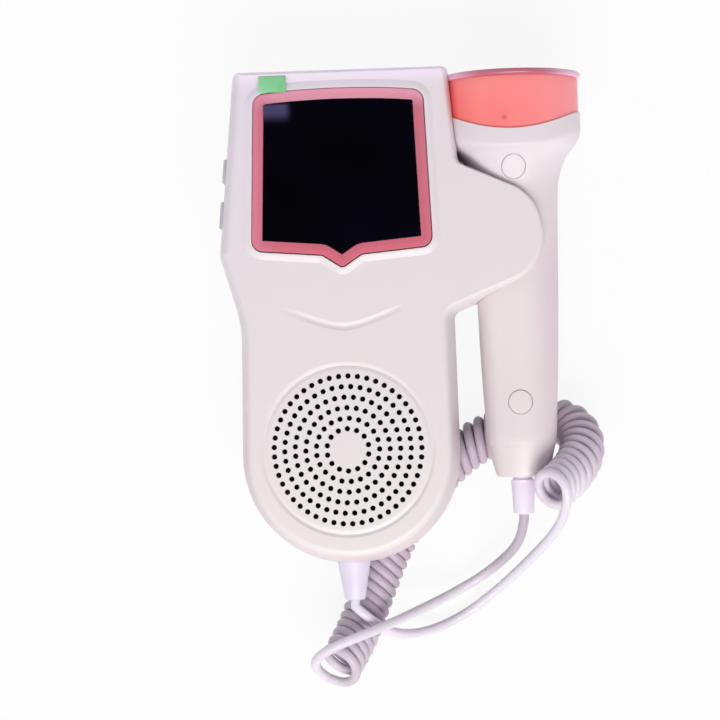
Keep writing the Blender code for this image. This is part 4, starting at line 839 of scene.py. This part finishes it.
# %% Front housing: outline
HALF = 31.9
LONG = 109.2
BODY_SHAPE = (
    (-0.978, 1.000, 0.078), (-1.138, 0.518, 0.125), (-0.959, 0.334, 0.940), (-1.000, -0.2995, 0.975),
    (1.000, -0.2995, 0.975), (0.972, 0.3495, 0.078), (1.890, 0.4562, 0.470), (1.743, 0.6538, 0.4075),
    (1.086, 0.739, 0.063), (0.992, 1.000, 0.078),
)
HOLLOW_SHAPE = (
    (-0.978, 1.000, 0.090), (-1.138, 0.518, 0.125), (-0.959, 0.334, 0.940), (-1.000, -0.292, 0.975),
    (1.000, -0.292, 0.975), (0.972, 0.3535, 0.400), (0.925, 1.000, 0.090),
)
BODY_CORNERS = scaled(BODY_SHAPE, HALF, LONG)
HOLLOW_CORNERS = scaled(HOLLOW_SHAPE, HALF, LONG)
EDGE_WIDTH = 4.8
EDGE_SOFTNESS = [1.0, 1.0, 1.0, 0.95, 0.8, 0.55, 0.3, 0.22, 0.6, 0.42]
FRONT_EDGE = ((0, 0), (0.10, 0.33), (0.27, 0.67), (0.46, 0.887), (0.67, 0.973), (0.86, 0.996), (1.02, 1.0))
FRONT_BASE = 20.15
FRONT_DEPTH = 14.85
FRONT_TOP = FRONT_BASE + FRONT_DEPTH

front_levels = [
    (EDGE_WIDTH * inset, FRONT_BASE + FRONT_DEPTH * min(height, 1.0))
    for inset, height in smooth_route(FRONT_EDGE, 3)
]
front = outline_solid(BODY_CORNERS, front_levels, EDGE_SOFTNESS)
print("front blank", len(front.faces), "faces, volume", round(front.calc_volume() / 1000, 1), "ml")

# %% Front housing: hollow
FRONT_HOLLOW = ((0.46, -0.07), (0.60, 0.40), (0.85, 0.77), (1.15, 0.853))
hollow_levels = [(EDGE_WIDTH * inset, FRONT_BASE + FRONT_DEPTH * height) for inset, height in FRONT_HOLLOW]
front = combine(front, outline_solid(HOLLOW_CORNERS, hollow_levels, steps=8))
print("hollowed", len(front.faces), "faces")

# %% [markdown]
# The raised field round the screen follows the trim's outline. Its side is a soft S: it leaves the housing
# gently, rises, and rounds over to the trim.

# %% Front housing: raised field
TRIM_HALF = 25.7
TRIM_SHAPE = (
    (-0.938, 3.949, 0.13), (-1.000, 2.230, 0.12), (-0.218, 2.163, 0.10), (0.000, 2.019, 0.05),
    (0.218, 2.163, 0.10), (1.000, 2.230, 0.12), (0.938, 3.949, 0.13), (0.000, 4.058, 7.20),
)
TRIM_CORNERS = scaled(TRIM_SHAPE, TRIM_HALF, TRIM_HALF)
FIELD_SIDE = (
    (2.6, 34.95), (2.4, 35.02), (2.1, 35.15), (1.7, 35.34), (1.3, 35.52), (0.9, 35.65), (0.6, 35.71),
    (0.35, 35.73),
)
field_levels = [(-2.6, 34.4), *((-inset, height) for inset, height in FIELD_SIDE)]
front = combine(front, outline_solid(TRIM_CORNERS, field_levels, steps=20), "UNION")
print("with the field", len(front.faces), "faces")

# %% Front housing: screw bosses
BOSS_RADIUS = 3.4
BOSS_GAP = 0.9
FRONT_BOSS = (20.35, 33.2)
SCREWS = ((-24.5, 101.0, 12.0), (24.5, 101.0, 12.0), (-19.0, -19.0, 15.8), (19.0, -19.0, 15.8))


def bosses(low, high, inside):
    """Bosses between two heights, kept a little inside the housing's outer form."""
    rods = gather([rod(BOSS_RADIUS, (x, y, low(y)), (x, y, high)) for x, y, _ in SCREWS])
    return combine(rods, inside, "INTERSECT")


def screw_holes():
    holes = []
    for x, y, head in SCREWS:
        profile = ((0, -4), (2.6, -4), (2.6, head + 1.9), (1.4, head + 1.9), (1.4, 30.3), (0, 30.3))
        holes.append(turned(profile, (x, y, 0), steps=32))
    return gather(holes)


boss_levels = [(inset + BOSS_GAP, height) for inset, height in front_levels]
inside = outline_solid(BODY_CORNERS, boss_levels, EDGE_SOFTNESS)
front = combine(front, bosses(lambda y: FRONT_BOSS[0], FRONT_BOSS[1], inside), "UNION")
front = combine(front, screw_holes())
print("with bosses", len(front.faces), "faces")

# %% Front housing: holster and screen pocket
HOLSTER_MOUTH = 1.5
HEAD_CORNER = ((33.2, 73.5, 8.0), (46.0, 92.0, 32.2))
POCKET_GAPS = (0.9, 1.7, 1.7, 1.7, 1.7, 1.3, 0.7, 0.7)
POCKET_LEVELS = ((-0.2, 33.6), (-0.2, 40.0))
DISPLAY_OPENING = ((-19.2, 62.3, 31.0), (19.2, 97.2, 36.0))
front = combine(front, handle_solid(HOLSTER_GAP, HOLSTER_END, mouth=HOLSTER_MOUTH))
front = combine(front, block(*HEAD_CORNER))
front = combine(front, outline_solid(TRIM_CORNERS, POCKET_LEVELS, POCKET_GAPS, steps=24))
front = combine(front, block(*DISPLAY_OPENING))
print("with the holster", len(front.faces), "faces")

# %% [markdown]
# The speaker dish is cut with a turned tool: a hardly sunk disc with a rounded groove round it, whose two
# sides catch the light and the shade. The holes lie on six rings, with seven more in each ring than in the
# one inside it, and each ring starts at its own angle.

# %% Front housing: speaker dish
DISH_TOOL = (
    (0, 34.84), (7.0, 34.84), (7.25, 34.76), (7.5, 34.84), (22.8, 34.84), (23.05, 34.81),
    (23.35, 34.68), (23.7, 34.46), (24.0, 34.38), (24.3, 34.46), (24.6, 34.72), (24.85, 34.92),
    (25.15, 35.01), (25.15, 38.0), (0, 38.0),
)
RING_TURNS = (0.0, 0.24, 0.0, -0.27, 0.48, 0.22)
RING_STEP = 3
HOLE_RADIUS = 0.79
front = combine(front, turned(DISH_TOOL, (0, 0, 0), steps=144))
holes = bmesh.new()
hole = {"cap_ends": True, "segments": 16, "radius1": HOLE_RADIUS, "radius2": HOLE_RADIUS, "depth": 8.0}
for ring, turned_by in zip(range(2, 8), RING_TURNS):
    for k in range(7 * ring):
        turn = math.pi / 2 - 2 * math.pi * (k + turned_by) / (7 * ring)
        place = (RING_STEP * ring * math.cos(turn), RING_STEP * ring * math.sin(turn), 34.0)
        bmesh.ops.create_cone(holes, matrix=Matrix.Translation(place), **hole)
front = combine(front, holes)
print("with the grille", len(front.faces), "faces")

# %% Front housing: vee crease
VEE_TIP = 35.0
VEE_REACH = 17.5
VEE_WIDTH = 1.3
VEE_DEPTH = 0.58
VEE_RISE = 5.4
VEE_ROUNDING = 5.0


def vee_tool():
    """A shallow groove along a hyperbola, deepest in the middle and fading out at both ends."""
    bm = bmesh.new()
    rings = []
    full_rise = math.hypot(VEE_REACH, VEE_ROUNDING) - VEE_ROUNDING
    for x in np.linspace(-VEE_REACH, VEE_REACH, 57):
        y = VEE_TIP + VEE_RISE * (math.hypot(x, VEE_ROUNDING) - VEE_ROUNDING) / full_rise
        depth = VEE_DEPTH * (1.0 - (abs(x) / VEE_REACH) ** 2.4)
        ring = []
        for across in np.linspace(-1.0, 1.0, 9):
            height = FRONT_TOP + 0.012 - depth * (1 - across**2) ** 1.5
            ring.append(bm.verts.new((x, y + across * VEE_WIDTH, height)))
        ring += [bm.verts.new((x, y + VEE_WIDTH, 38)), bm.verts.new((x, y - VEE_WIDTH, 38))]
        rings.append([bm.edges.new((ring[i - 1], ring[i])) for i in range(len(ring))])
    return bridge_rings(bm, rings)


front = combine(front, vee_tool())
print("with the crease", len(front.faces), "faces")

# %% Front housing: side and cord openings
KEY_HEIGHT = 23.5


def side_place(y):
    """Point on the left side at this distance along, with the directions out of and along it."""
    top, bottom = Vector(BODY_CORNERS[0][:2]), Vector(BODY_CORNERS[1][:2])
    along = (top - bottom).normalized()
    outwards = Vector((-along.y, along.x))
    point = bottom + (top - bottom) * (y - bottom.y) / (top.y - bottom.y) - outwards * 0.35
    return point, outwards, along


def side_block(y, outer, inner, half_length, half_height, softness=0.0):
    """A block across the left wall; the turn mirrors it, so its normals are recalculated."""
    point, outwards, along = side_place(y)
    bm = block((inner, -half_length, -half_height), (outer, half_length, half_height))
    if softness:
        soften(bm, softness, 4)
    turn = Matrix((outwards.to_3d(), along.to_3d(), (0, 0, 1))).transposed().to_4x4()
    bmesh.ops.transform(bm, matrix=Matrix.Translation((*point, KEY_HEIGHT)) @ turn, verts=bm.verts)
    bmesh.ops.recalc_face_normals(bm, faces=bm.faces)
    return bm


BUTTONS = (("power", 80.9, 7.0), ("volume", 68.3, 7.8))
for _, y, length in BUTTONS:
    front = combine(front, side_block(y, 4, -4, length / 2 + 0.3, 2.8))


CORD_WAY = (0, 1, 0)
UNIT_BOOT_PLACE = (0, -32.3, 20)


def gland_hole():
    profile = ((0, -4), (4.95, -4), (4.95, 1.0), (3.0, 1.0), (3.0, 3.2), (4.2, 3.2), (4.2, 5.2), (0, 5.2))
    return turned(profile, UNIT_BOOT_PLACE, CORD_WAY, steps=40)


front = combine(front, gland_hole())
piece_from("front_housing", front, front_plastic, "hand_unit", "front_shell", crease=28, even=True)

# %% [markdown]
# The screen is three pieces: a pink moulded trim, a near black window set in it, and the clear protective
# film that a new product still wears, with its green pull tab.

# %% Pink trim
trim_pink = Finish("trim_pink", paint(214, 118, 136), 0.34)
upper = trim_pink.span(trim_pink.y, -0.045, 0.0)
left = trim_pink.span(trim_pink.x, -0.018, -0.024, 0.0, 0.8)
trim_pink.set(Base_Color=trim_pink.mix(upper, paint(218, 112, 130), paint(208, 118, 138)))
# Painted highlight: lighter pink along the trim's top.
trim_pink.tint(trim_pink.fade(trim_pink.y, -0.006, -0.0015), paint(233, 158, 182))
trim_pink.tint(left, paint(224, 132, 155))
trim_pink.grain(0.5, 0.01, 0.25)

trim = bmesh.new()
TRIM_SECTION = (
    (0.0, 33.95), (0.0, 35.72), (0.07, 35.90), (0.22, 36.0), (2.80, 36.0), (2.93, 35.93), (3.0, 35.75),
    (3.0, 33.95),
)
rings = [outline_ring(trim, TRIM_CORNERS, inset, height, steps=24) for inset, height in TRIM_SECTION]
skin(trim, rings, closed=True)
piece_from("screen_trim", trim, trim_pink, "hand_unit", "window_trim", even=True)

# %% Dark window
window_black = Finish("window_black", paint(3, 2, 8), 0.12, Specular_IOR_Level=0.2)
window_black.set(Base_Color=window_black.drift(paint(1, 1, 5), paint(5, 4, 16), 25.0))
window_levels = [(3.15, 33.95), (3.15, 35.70), (3.25, 35.8)]
window = outline_solid(TRIM_CORNERS, window_levels, steps=24)
piece_from("screen_window", window, window_black, "hand_unit", "display_glass", even=True)

# %% Protective film
FILM_DARK = paint(10, 10, 22)
film_clear = Finish("film_clear", FILM_DARK, 0.10, Specular_IOR_Level=0.15)
# The tab's glue shows as a bluish patch under the film's upper left corner.
glue = film_clear.fade(film_clear.x, -0.0155, -0.0125, 1.0, 0.0)
glue = film_clear.maths("MULTIPLY", glue, film_clear.fade(film_clear.y, -0.0100, -0.0055))
for side, low, high in ((film_clear.x, -0.0217, -0.0211), (film_clear.y, -0.0029, -0.0039)):
    glue = film_clear.maths("MULTIPLY", glue, film_clear.span(side, low, high))
film_clear.set(Base_Color=film_clear.mix(glue, FILM_DARK, paint(120, 112, 165)))
film_clear.set(Alpha=film_clear.span(glue, 0.0, 1.0, 0.02, 0.22))
film = outline_solid(TRIM_CORNERS, [(1.5, 36.3), (1.5, 36.45)], steps=8)
piece_from("protective_film", film, film_clear, "hand_unit", "screen_film")

# %% Green pull tab
TAB_WIDTH = 7.7
TAB_LENGTH = 5.2
TAB_CORNER = Vector((-22.4, 102.1, 36.45))
tab_green = Finish("tab_green", paint(142, 218, 162), 0.38)
tab_green.set(Base_Color=tab_green.drift(paint(128, 214, 150), paint(160, 226, 178), 160.0))
tab_green.grain(0.9, 0.03, 0.3)
tab = bmesh.new()
bmesh.ops.create_grid(tab, x_segments=10, y_segments=20, size=0.5)
for vert in tab.verts:
    along = vert.co.y + 0.5
    vert.co = TAB_CORNER + Vector((TAB_WIDTH * (vert.co.x + 0.5), TAB_LENGTH * along, -1.6 * along**2.2))
bmesh.ops.solidify(tab, geom=tab.faces[:], thickness=0.18)
bmesh.ops.recalc_face_normals(tab, faces=tab.faces)
piece_from("pull_tab", tab, tab_green, "hand_unit", "film_tab")

# %% [markdown]
# Two keys stand a little out of the left side. Only their caps show, but each has the lip that holds it
# behind the wall and the stem that reaches its switch.

# %% Side keys
key_grey = Finish("key_grey", paint(208, 202, 212), 0.5)
key_grey.set(Base_Color=key_grey.drift(paint(206, 200, 210), paint(214, 208, 217), 200.0))
key_grey.grain(0.35, 0.02, 0.4)
for name, y, length in BUTTONS:
    cap = side_block(y, 0.7, -3.1, length / 2, 2.5, 0.45)
    lip = side_block(y, -2.7, -3.5, length / 2 + 0.7, 3.2, 0.1)
    stem = side_block(y, -3.1, -4.5, 1.2, 1.2, 0.1)
    piece_from(f"{name}_button_cap", gather([cap, lip, stem]), key_grey, f"{name}_key", f"{name}_button")

# %% [markdown]
# The back housing has the front one's outline. It is deepest under the batteries and slopes up to the
# speaker end, and its holster side is lifted off the table.

# %% Back housing
BACK_BASE = 19.85
BACK_WALL = 2.2
SLOPE_START = 38.0
SLOPE_END = 3.0
SLOPE_RISE = 13.5


def back_depth(y):
    """Depth of the back below the seam."""
    return BACK_BASE - SLOPE_RISE * share_of_way(y, SLOPE_START, SLOPE_END)


def bend_back(bm, thickness):
    """Lifts the solid's back to follow the slope towards the speaker end."""
    for y in (SLOPE_START, SLOPE_END):
        everything = bm.verts[:] + bm.edges[:] + bm.faces[:]
        bmesh.ops.bisect_plane(bm, geom=everything, plane_co=(0, y, 0), plane_no=(0, 1, 0))
    full = BACK_BASE - thickness
    for vert in bm.verts:
        vert.co.z = BACK_BASE - (BACK_BASE - vert.co.z) * (back_depth(vert.co.y) - thickness) / full
    bmesh.ops.connect_verts_nonplanar(bm, angle_limit=0.001, faces=bm.faces[:])
    return bm


BACK_EDGE = ((0, 0), (0.13, 0.40), (0.29, 0.77), (0.54, 0.94), (0.80, 0.99), (1.0, 1.0))
BACK_HOLLOW = ((0.46, -0.06), (0.58, 0.45), (0.79, 0.87), (1.15, 1.0))
back_levels = [
    (EDGE_WIDTH * inset, BACK_BASE * (1 - min(height, 1.0)))
    for inset, height in smooth_route(BACK_EDGE, 3)
]
back = bend_back(outline_solid(BODY_CORNERS, back_levels), 0.0)
back_inside = BACK_BASE - BACK_WALL
hollow_levels = [(EDGE_WIDTH * inset, BACK_BASE - back_inside * height) for inset, height in BACK_HOLLOW]
back = combine(back, bend_back(outline_solid(HOLLOW_CORNERS, hollow_levels, steps=8), BACK_WALL))
print("back blank", len(back.faces), "faces")

# %% Back housing: holster side, ribs and openings
RIB_PLACES = (41.2, 97.0)
RIB_THICKNESS = 1.2
INNER_TOP = 19.65
BOSS_FOOT = BACK_BASE + BACK_WALL / 2
DOOR_OPENING = ((-17.0, 30.0, -4.0), (17.0, 98.3, 2.5))


def holster_skirt():
    """What is cut away under the probe, so that the holster's side is lifted off the table."""
    bm = bmesh.new()
    rings = []
    for y, side in ((30.0, 31.2), (38.6, 31.2), (82.0, 34.1), (96.0, 34.1)):
        points = ((side - 3.2, -4.0), (68.7, -4.0), (68.7, 7.2), (side, 7.2))
        ring = [bm.verts.new((x, y, z)) for x, z in points]
        rings.append([bm.edges.new((ring[i - 1], ring[i])) for i in range(4)])
    return bridge_rings(bm, rings)


back = combine(back, holster_skirt())
for y in RIB_PLACES:
    back = combine(back, block((-30.0, y, 4.2), (30.0, y + RIB_THICKNESS, INNER_TOP)), "UNION")
boss_levels = [(inset + BOSS_GAP, height) for inset, height in back_levels]
inside = bend_back(outline_solid(BODY_CORNERS, boss_levels), 0.0)
back = combine(back, bosses(lambda y: BOSS_FOOT - back_depth(y), INNER_TOP, inside), "UNION")
back = combine(back, handle_solid(HOLSTER_GAP, HOLSTER_END))
back = combine(back, gland_hole())
back = combine(back, screw_holes())
back = combine(back, block(*DOOR_OPENING))
piece_from("back_housing", back, back_plastic, "hand_unit", "back_shell", crease=28, even=True)

# %% [markdown]
# The battery door slides towards the speaker end. It has a row of grip grooves for the thumb, and a flange
# inside that holds it behind the wall.

# %% Battery door
GRIP_START = 43.0
GRIP_STEP = 1.8
door_plastic = housing_plastic("battery_door_plastic")
plate = soften(block((-16.7, 36.2, 0.2), (16.7, 98.0, 2.1)), 0.25, 3)
neck = block((-16.4, 62.0, 1.15), (16.4, 96.0, 3.0))
flange = block((-18.4, 62.0, 2.5), (18.4, 96.0, 3.5))
door = combine(combine(plate, neck, "UNION"), flange, "UNION")
for k in range(7):
    y = GRIP_START + GRIP_STEP * k
    door = combine(door, rod(0.55, (-9.0, y, 0.05), (9.0, y, 0.05), 16))
piece_from("sliding_battery_door", door, door_plastic, "door", "battery_door", even=True)

# %% [markdown]
# Both strain reliefs are turned vinyl sleeves with a soft shoulder and a rounded tip, pressed into a groove
# of the housing.

# %% Strain reliefs
# One vinyl: painted shade darkens the unit's strain relief, painted light brightens the probe's.
unit_boot_shaded_vinyl = vinyl("unit_boot_shaded_vinyl", paint(228, 221, 239), paint(223, 216, 234), 0.4)
probe_boot_lit_vinyl = vinyl("probe_boot_lit_vinyl", paint(243, 232, 248), paint(238, 228, 243), 0.4)
UNIT_BOOT = (
    (0, -11.4), (1.5, -11.4), (1.5, -11.0), (2.55, -11.0), (2.85, -10.85), (3.02, -10.5), (3.9, -5.0),
    (4.55, -1.2), (4.75, -0.1), (4.75, 0.5), (4.55, 0.7), (2.7, 0.7), (2.7, 3.5), (3.9, 3.5),
    (3.9, 4.9), (0, 4.9),
)
unit_boot = turned(UNIT_BOOT, UNIT_BOOT_PLACE, CORD_WAY, 56)
piece_from("unit_strain_relief", unit_boot, unit_boot_shaded_vinyl, "hand_unit", "unit_boot")
PROBE_BOOT = (
    (0, -10.0), (1.5, -10.0), (1.5, -9.7), (2.5, -9.7), (2.85, -9.55), (2.98, -9.2), (3.2, -4.0),
    (3.42, -0.6), (3.38, -0.12), (3.2, 0.0), (2.8, 0.0), (2.8, 2.6), (4.2, 2.6), (4.2, 3.8), (0, 3.8),
)
probe_boot = turned(PROBE_BOOT, (PROBE_X, -10.0, PROBE_Z), CORD_WAY, 56)
piece_from("probe_strain_relief", probe_boot, probe_boot_lit_vinyl, "probe", "probe_boot")

# %% [markdown]
# The handle is two half shells. Each starts as one skin of rings, of which the part on its side of the seam
# is kept and given its wall and its bosses. The end by the head is then bent to the collar's smile.

# %% Probe plastic


def handle_plastic(name, **sockets):
    """Warm white: lilac at the head, with painted mauve shade on its lower half's right and at the tail."""
    finish = Finish(name, paint(235, 226, 228), 0.40, **sockets)
    finish.set(Base_Color=finish.drift(paint(236, 227, 228), paint(233, 225, 229), 40.0))
    finish.tint(finish.fade(finish.y, -0.05, 0.0, 0.0, 0.7), paint(236, 224, 234))
    # Painted shade: mauve on the right of the lower half.
    low_end = finish.fade(finish.y, -0.030, -0.060, 0.0, 0.75)
    shaded = finish.maths("MULTIPLY", finish.fade(finish.x, 0.051, 0.060), low_end)
    finish.tint(shaded, paint(228, 209, 219))
    # Painted shade: the tail darker.
    finish.tint(finish.fade(finish.y, -0.068, -0.088, 0.0, 0.6), paint(227, 217, 220))
    finish.gloss(900.0, 0.36, 0.44)
    finish.grain(0.30, 0.010, 0.3)
    return finish


probe_plastic = handle_plastic("probe_plastic")
cover_plastic = handle_plastic("cover_plastic", Specular_IOR_Level=0.2)
print("handle plastics made")

# %% Handle halves
SMILE = 5.6
COLLAR_EDGE = 95.0
BEND = (82.0, 92.0)
HANDLE_WALL = 2.0
HALF_GAP = 0.15


def bend_to_smile(bm, gap):
    """Draws the head's end back in front and behind, so that it follows the collar's curved edge."""
    for vert in bm.verts:
        turn = math.atan2(vert.co.z - PROBE_Z, vert.co.x - PROBE_X)
        vert.co.y -= smoothstep(vert.co.y, *BEND) * (SMILE * math.sin(turn) ** 2 + gap)


def handle_half(side):
    bm = bmesh.new()
    stations = [y for y in handle_curve[:, 0] if -0.4 < y < 91.5]
    stations = [-0.4, *stations, 92.0, 93.5, COLLAR_EDGE]
    rings = [oval_ring(bm, y, half_width(y), half_width(y) * flatness(y), 96) for y in stations]
    for low, high in zip(rings, rings[1:]):
        bmesh.ops.bridge_loops(bm, edges=low + high)
    everything = bm.verts[:] + bm.edges[:] + bm.faces[:]
    seam = (PROBE_X, 0, PROBE_Z + HALF_GAP * side)
    bmesh.ops.bisect_plane(bm, geom=everything, plane_co=seam, plane_no=(0, 0, -side), clear_outer=True)
    bmesh.ops.recalc_face_normals(bm, faces=bm.faces)
    middle = Vector((PROBE_X, 40, PROBE_Z))
    if sum((face.calc_center_median() - middle).dot(face.normal) for face in bm.faces) < 0:
        bmesh.ops.reverse_faces(bm, faces=bm.faces)
    bmesh.ops.solidify(bm, geom=bm.faces[:], thickness=HANDLE_WALL)
    bmesh.ops.recalc_face_normals(bm, faces=bm.faces)
    return bm


def cover_floor(y):
    """Height of the step that a screw's cover lies on."""
    return PROBE_Z + half_width(y) * flatness(y) - 2.2


def probe_boss(y, side):
    boss = rod(4.4, (PROBE_X, y, PROBE_Z + 0.35 * side), (PROBE_X, y, PROBE_Z + 19.4 * side))
    return combine(boss, handle_solid(-1.0), "INTERSECT")


def probe_screw_hole(y):
    floor = cover_floor(y)
    profile = [(0, 16.7), (1.3, 16.7), (1.3, floor - 2.0), (2.4, floor - 2.0)]
    profile += [(2.4, floor), (3.5, floor), (3.5, floor + 8), (0, floor + 8)]
    return turned(profile, (PROBE_X, y, 0), steps=64)


PLUGS = (("upper", 79.0), ("lower", 12.2))
for name, side in (("front", 1), ("back", -1)):
    half = handle_half(side)
    for _, y in PLUGS:
        half = combine(half, probe_boss(y, side), "UNION")
        half = combine(half, probe_screw_hole(y))
    bend_to_smile(half, 0.05)
    shell = f"probe_{name}_shell"
    piece_from(f"probe_{name}_half", half, probe_plastic, "probe", shell, crease=30, even=True)

# %% [markdown]
# Two round covers hide the screws. Their tops follow the handle, so each is a disc of rings whose points
# are laid on the handle's surface, with the outermost ring a little lower as a rounded rim. They are of the
# handle's own plastic, only duller.

# %% Screw covers
COVER_RADIUS = 3.38
COVER_STEPS = (0.12, 0.16, 0.5, 0.5, 0.5, 0.5, 0.5)
COVER_FLAT = 3.1


def handle_height(x, y):
    width = half_width(y)
    return PROBE_Z + flatness(y) * math.sqrt(max(width**2 - (x - PROBE_X) ** 2, 0))


for name, y in PLUGS:
    cover = bmesh.new()
    bmesh.ops.create_circle(cover, cap_ends=True, segments=64, radius=COVER_RADIUS)
    for step in COVER_STEPS:
        inner = max(cover.faces, key=lambda face: len(face.verts))
        bmesh.ops.inset_region(cover, faces=[inner], thickness=step, use_boundary=True, use_even_offset=True)
    for vert in cover.verts:
        rim = max(0.0, vert.co.length - COVER_FLAT) / (COVER_RADIUS - COVER_FLAT)
        vert.co.x, vert.co.y = vert.co.x + PROBE_X, vert.co.y + y
        vert.co.z = handle_height(vert.co.x, vert.co.y) + 0.03 - 0.2 * rim**2
    skirt = bmesh.ops.extrude_face_region(cover, geom=cover.faces[:])
    moved = [item for item in skirt["geom"] if isinstance(item, bmesh.types.BMVert)]
    for vert in moved:
        vert.co.z = cover_floor(y) + 0.3
    bmesh.ops.recalc_face_normals(cover, faces=cover.faces)
    piece_from(f"{name}_screw_cover", cover, cover_plastic, "probe", f"probe_plug_{name}")

# %% [markdown]
# The head ends in a coral collar whose lower edge smiles, and a translucent mauve disc that touches the
# skin. The coral is a dense, slightly soft plastic, given a faint red glow as painted light and painted
# pinker on its right side as a painted reflection.

# %% Coral collar
# Painted light: a faint red glow in the emission.
coral = Finish("coral", paint(255, 138, 132), 0.38, Subsurface_Weight=0.06, Emission_Strength=0.07)
coral.set(Subsurface_Radius=(0.0015, 0.0006, 0.0005), Emission_Color=paint(255, 70, 80))
# Painted reflection: pinker on the right side.
across = coral.span(coral.x, 0.032, 0.066)
higher = coral.span(coral.y, -0.014, 0.002)
coral.set(Base_Color=coral.mix(across, paint(255, 122, 112), paint(255, 152, 158)))
coral.tint(coral.span(higher, 0.3, 1.0, 0.0, 0.6), paint(255, 154, 156))
# A faint dark dot, left by the mould's gate, sits low in the middle of the front.
gate = coral.from_point((47.1, 92.5, 40.9))
coral.tint(coral.fade(gate, 0.0003, 0.0012, 0.45, 0.0), paint(170, 60, 70))
coral.grain(0.4, 0.01, 0.25)

COLLAR_LENGTH = 9.42
COLLAR_OUTER = 18.9
COLLAR_INNER = 16.5
collar = bmesh.new()
sections = [(COLLAR_OUTER, share) for share in (0.0, 0.03, 0.2, 0.45, 0.7, 0.96)]
sections += [(18.75, 1.0)]
sections += [(COLLAR_INNER, share) for share in (1.0, 0.7, 0.3, 0.0)]
rings = []
for radius, share in sections:
    rings.append(oval_ring(collar, COLLAR_EDGE + share * COLLAR_LENGTH, radius, radius, 128))
bridge_rings(collar, rings, closed=True)
for vert in collar.verts:
    share = (vert.co.y - COLLAR_EDGE) / COLLAR_LENGTH
    turn = math.atan2(vert.co.z - PROBE_Z, vert.co.x - PROBE_X)
    vert.co.y -= (1 - share) * SMILE * math.sin(turn) ** 2
bmesh.ops.recalc_face_normals(collar, faces=collar.faces)
piece_from("coral_collar", collar, coral, "probe", "probe_collar")

# %% Mauve face
FACE_BACK = 104.45
FACE_RADIUS = 19.7
FACE_THICKNESS = 1.9
mauve = Finish("mauve_face", paint(176, 108, 132), 0.25, Specular_IOR_Level=0.5)
sideways = mauve.maths("ABSOLUTE", mauve.maths("SUBTRACT", mauve.x, PROBE_X * MM))
from_middle = mauve.from_point((PROBE_X, 106.0, PROBE_Z))
rim = mauve.fade(from_middle, 0.0178, 0.0190)
# Painted reflection: the rim paler at its two ends.
ends = mauve.maths("MULTIPLY", mauve.fade(sideways, 0.008, 0.0185), rim)
mauve.set(Base_Color=mauve.mix(ends, paint(195, 109, 133), paint(232, 186, 212)))
FACE_EDGE = ((18.6, 0.0), (19.2, 0.15), (19.55, 0.5), (FACE_RADIUS, 1.0), (19.6, 1.45), (19.2, 1.78))
profile = ((0, 0), *FACE_EDGE, (18.5, FACE_THICKNESS), (0, FACE_THICKNESS))
face = turned(profile, (PROBE_X, FACE_BACK, PROBE_Z), CORD_WAY, 128)
piece_from("skin_face", face, mauve, "probe", "probe_face")

# %% Tail cap
tail = bmesh.new()
TAIL = (
    (-9.2, 0.345), (-9.14, 0.362), (-8.8, 0.381), (-8.2, 0.393), (-7.2, 0.409), (-5.0, 0.438),
    (-2.5, 0.466), (-0.42, 0.490),
)
rings = [oval_ring(tail, y, HEAD_RADIUS * w, HEAD_RADIUS * w * FLATNESS, 96) for y, w in TAIL]
bridge_rings(tail, rings)
inner = bmesh.new()
rings = []
for y, share in ((-7.7, 0.397), (3.3, 0.49)):
    width = HEAD_RADIUS * share - HANDLE_WALL
    rings.append(oval_ring(inner, y, width, width * FLATNESS))
tail = combine(tail, bridge_rings(inner, rings))
tail = combine(tail, rod(3.1, (PROBE_X, -13.7, PROBE_Z), (PROBE_X, -5.7, PROBE_Z), 40))
piece_from("probe_tail", tail, probe_plastic, "probe", "probe_tail_cap", crease=30, even=True)

# %% [markdown]
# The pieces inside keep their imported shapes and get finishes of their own: painted circuit board, plated
# steel, the dark paper of the speaker's cone, and so on.

# %% Finishes of the inner pieces


def plain_finish(name, colour, second, roughness, metallic, grain_size):
    finish = Finish(name, colour, roughness, Metallic=metallic)
    finish.set(Base_Color=finish.drift(colour, second, 150.0))
    finish.gloss(700.0, max(roughness - 0.08, 0.05), roughness + 0.08)
    finish.grain(grain_size, 0.02, 0.3)
    return finish


CRYSTALS = ["transmit_crystal", "receive_crystal"]
CASE_SCREWS = [f"case_screw_{k}" for k in range(1, 5)]
PROBE_SCREWS = ["probe_screw_upper", "probe_screw_lower"]
CONTACTS = ["battery_spring_plate", "battery_contact_plate"]
BATTERY_CELLS = ["battery_cell_left", "battery_cell_right"]
STEEL_PIECES = ["speaker_frame", *CONTACTS, *PROBE_SCREWS, *CASE_SCREWS]
INNER = (
    ("board_green", (38, 120, 66), (30, 98, 56), 0.42, 0.0, 0.5, ["main_board", "probe_board"]),
    ("plated_steel", (205, 205, 208), (190, 190, 196), 0.28, 1.0, 0.5, STEEL_PIECES),
    ("magnet_steel", (150, 150, 156), (120, 120, 126), 0.4, 1.0, 0.5, ["speaker_magnet"]),
    ("cone_paper", (20, 19, 20), (28, 27, 28), 0.85, 0.0, 0.25, ["speaker_cone"]),
    ("gasket_foam", (26, 26, 28), (36, 36, 38), 0.95, 0.0, 0.2, ["speaker_gasket"]),
    ("switch_black", (38, 38, 42), (48, 48, 52), 0.5, 0.0, 0.5, ["power_switch", "volume_switch"]),
    ("cell_wrap", (52, 56, 70), (62, 66, 80), 0.3, 0.3, 0.5, BATTERY_CELLS),
    ("display_grey", (60, 66, 72), (52, 58, 64), 0.3, 0.0, 0.5, ["lcd_module"]),
    ("piezo_ceramic", (222, 214, 190), (210, 202, 178), 0.5, 0.0, 0.5, CRYSTALS),
)
dressed = 0
for name, colour, second, roughness, metallic, grain_size, nodes in INNER:
    finish = plain_finish(name, paint(*colour), paint(*second), roughness, metallic, grain_size)
    for node in nodes:
        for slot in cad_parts[node].material_slots:
            slot.material = finish.material
    dressed += len(nodes)
print("inner pieces dressed", dressed)

# %% [markdown]
# The last cell brings the scene up to date.

# %% Update the scene
bpy.context.view_layer.update()
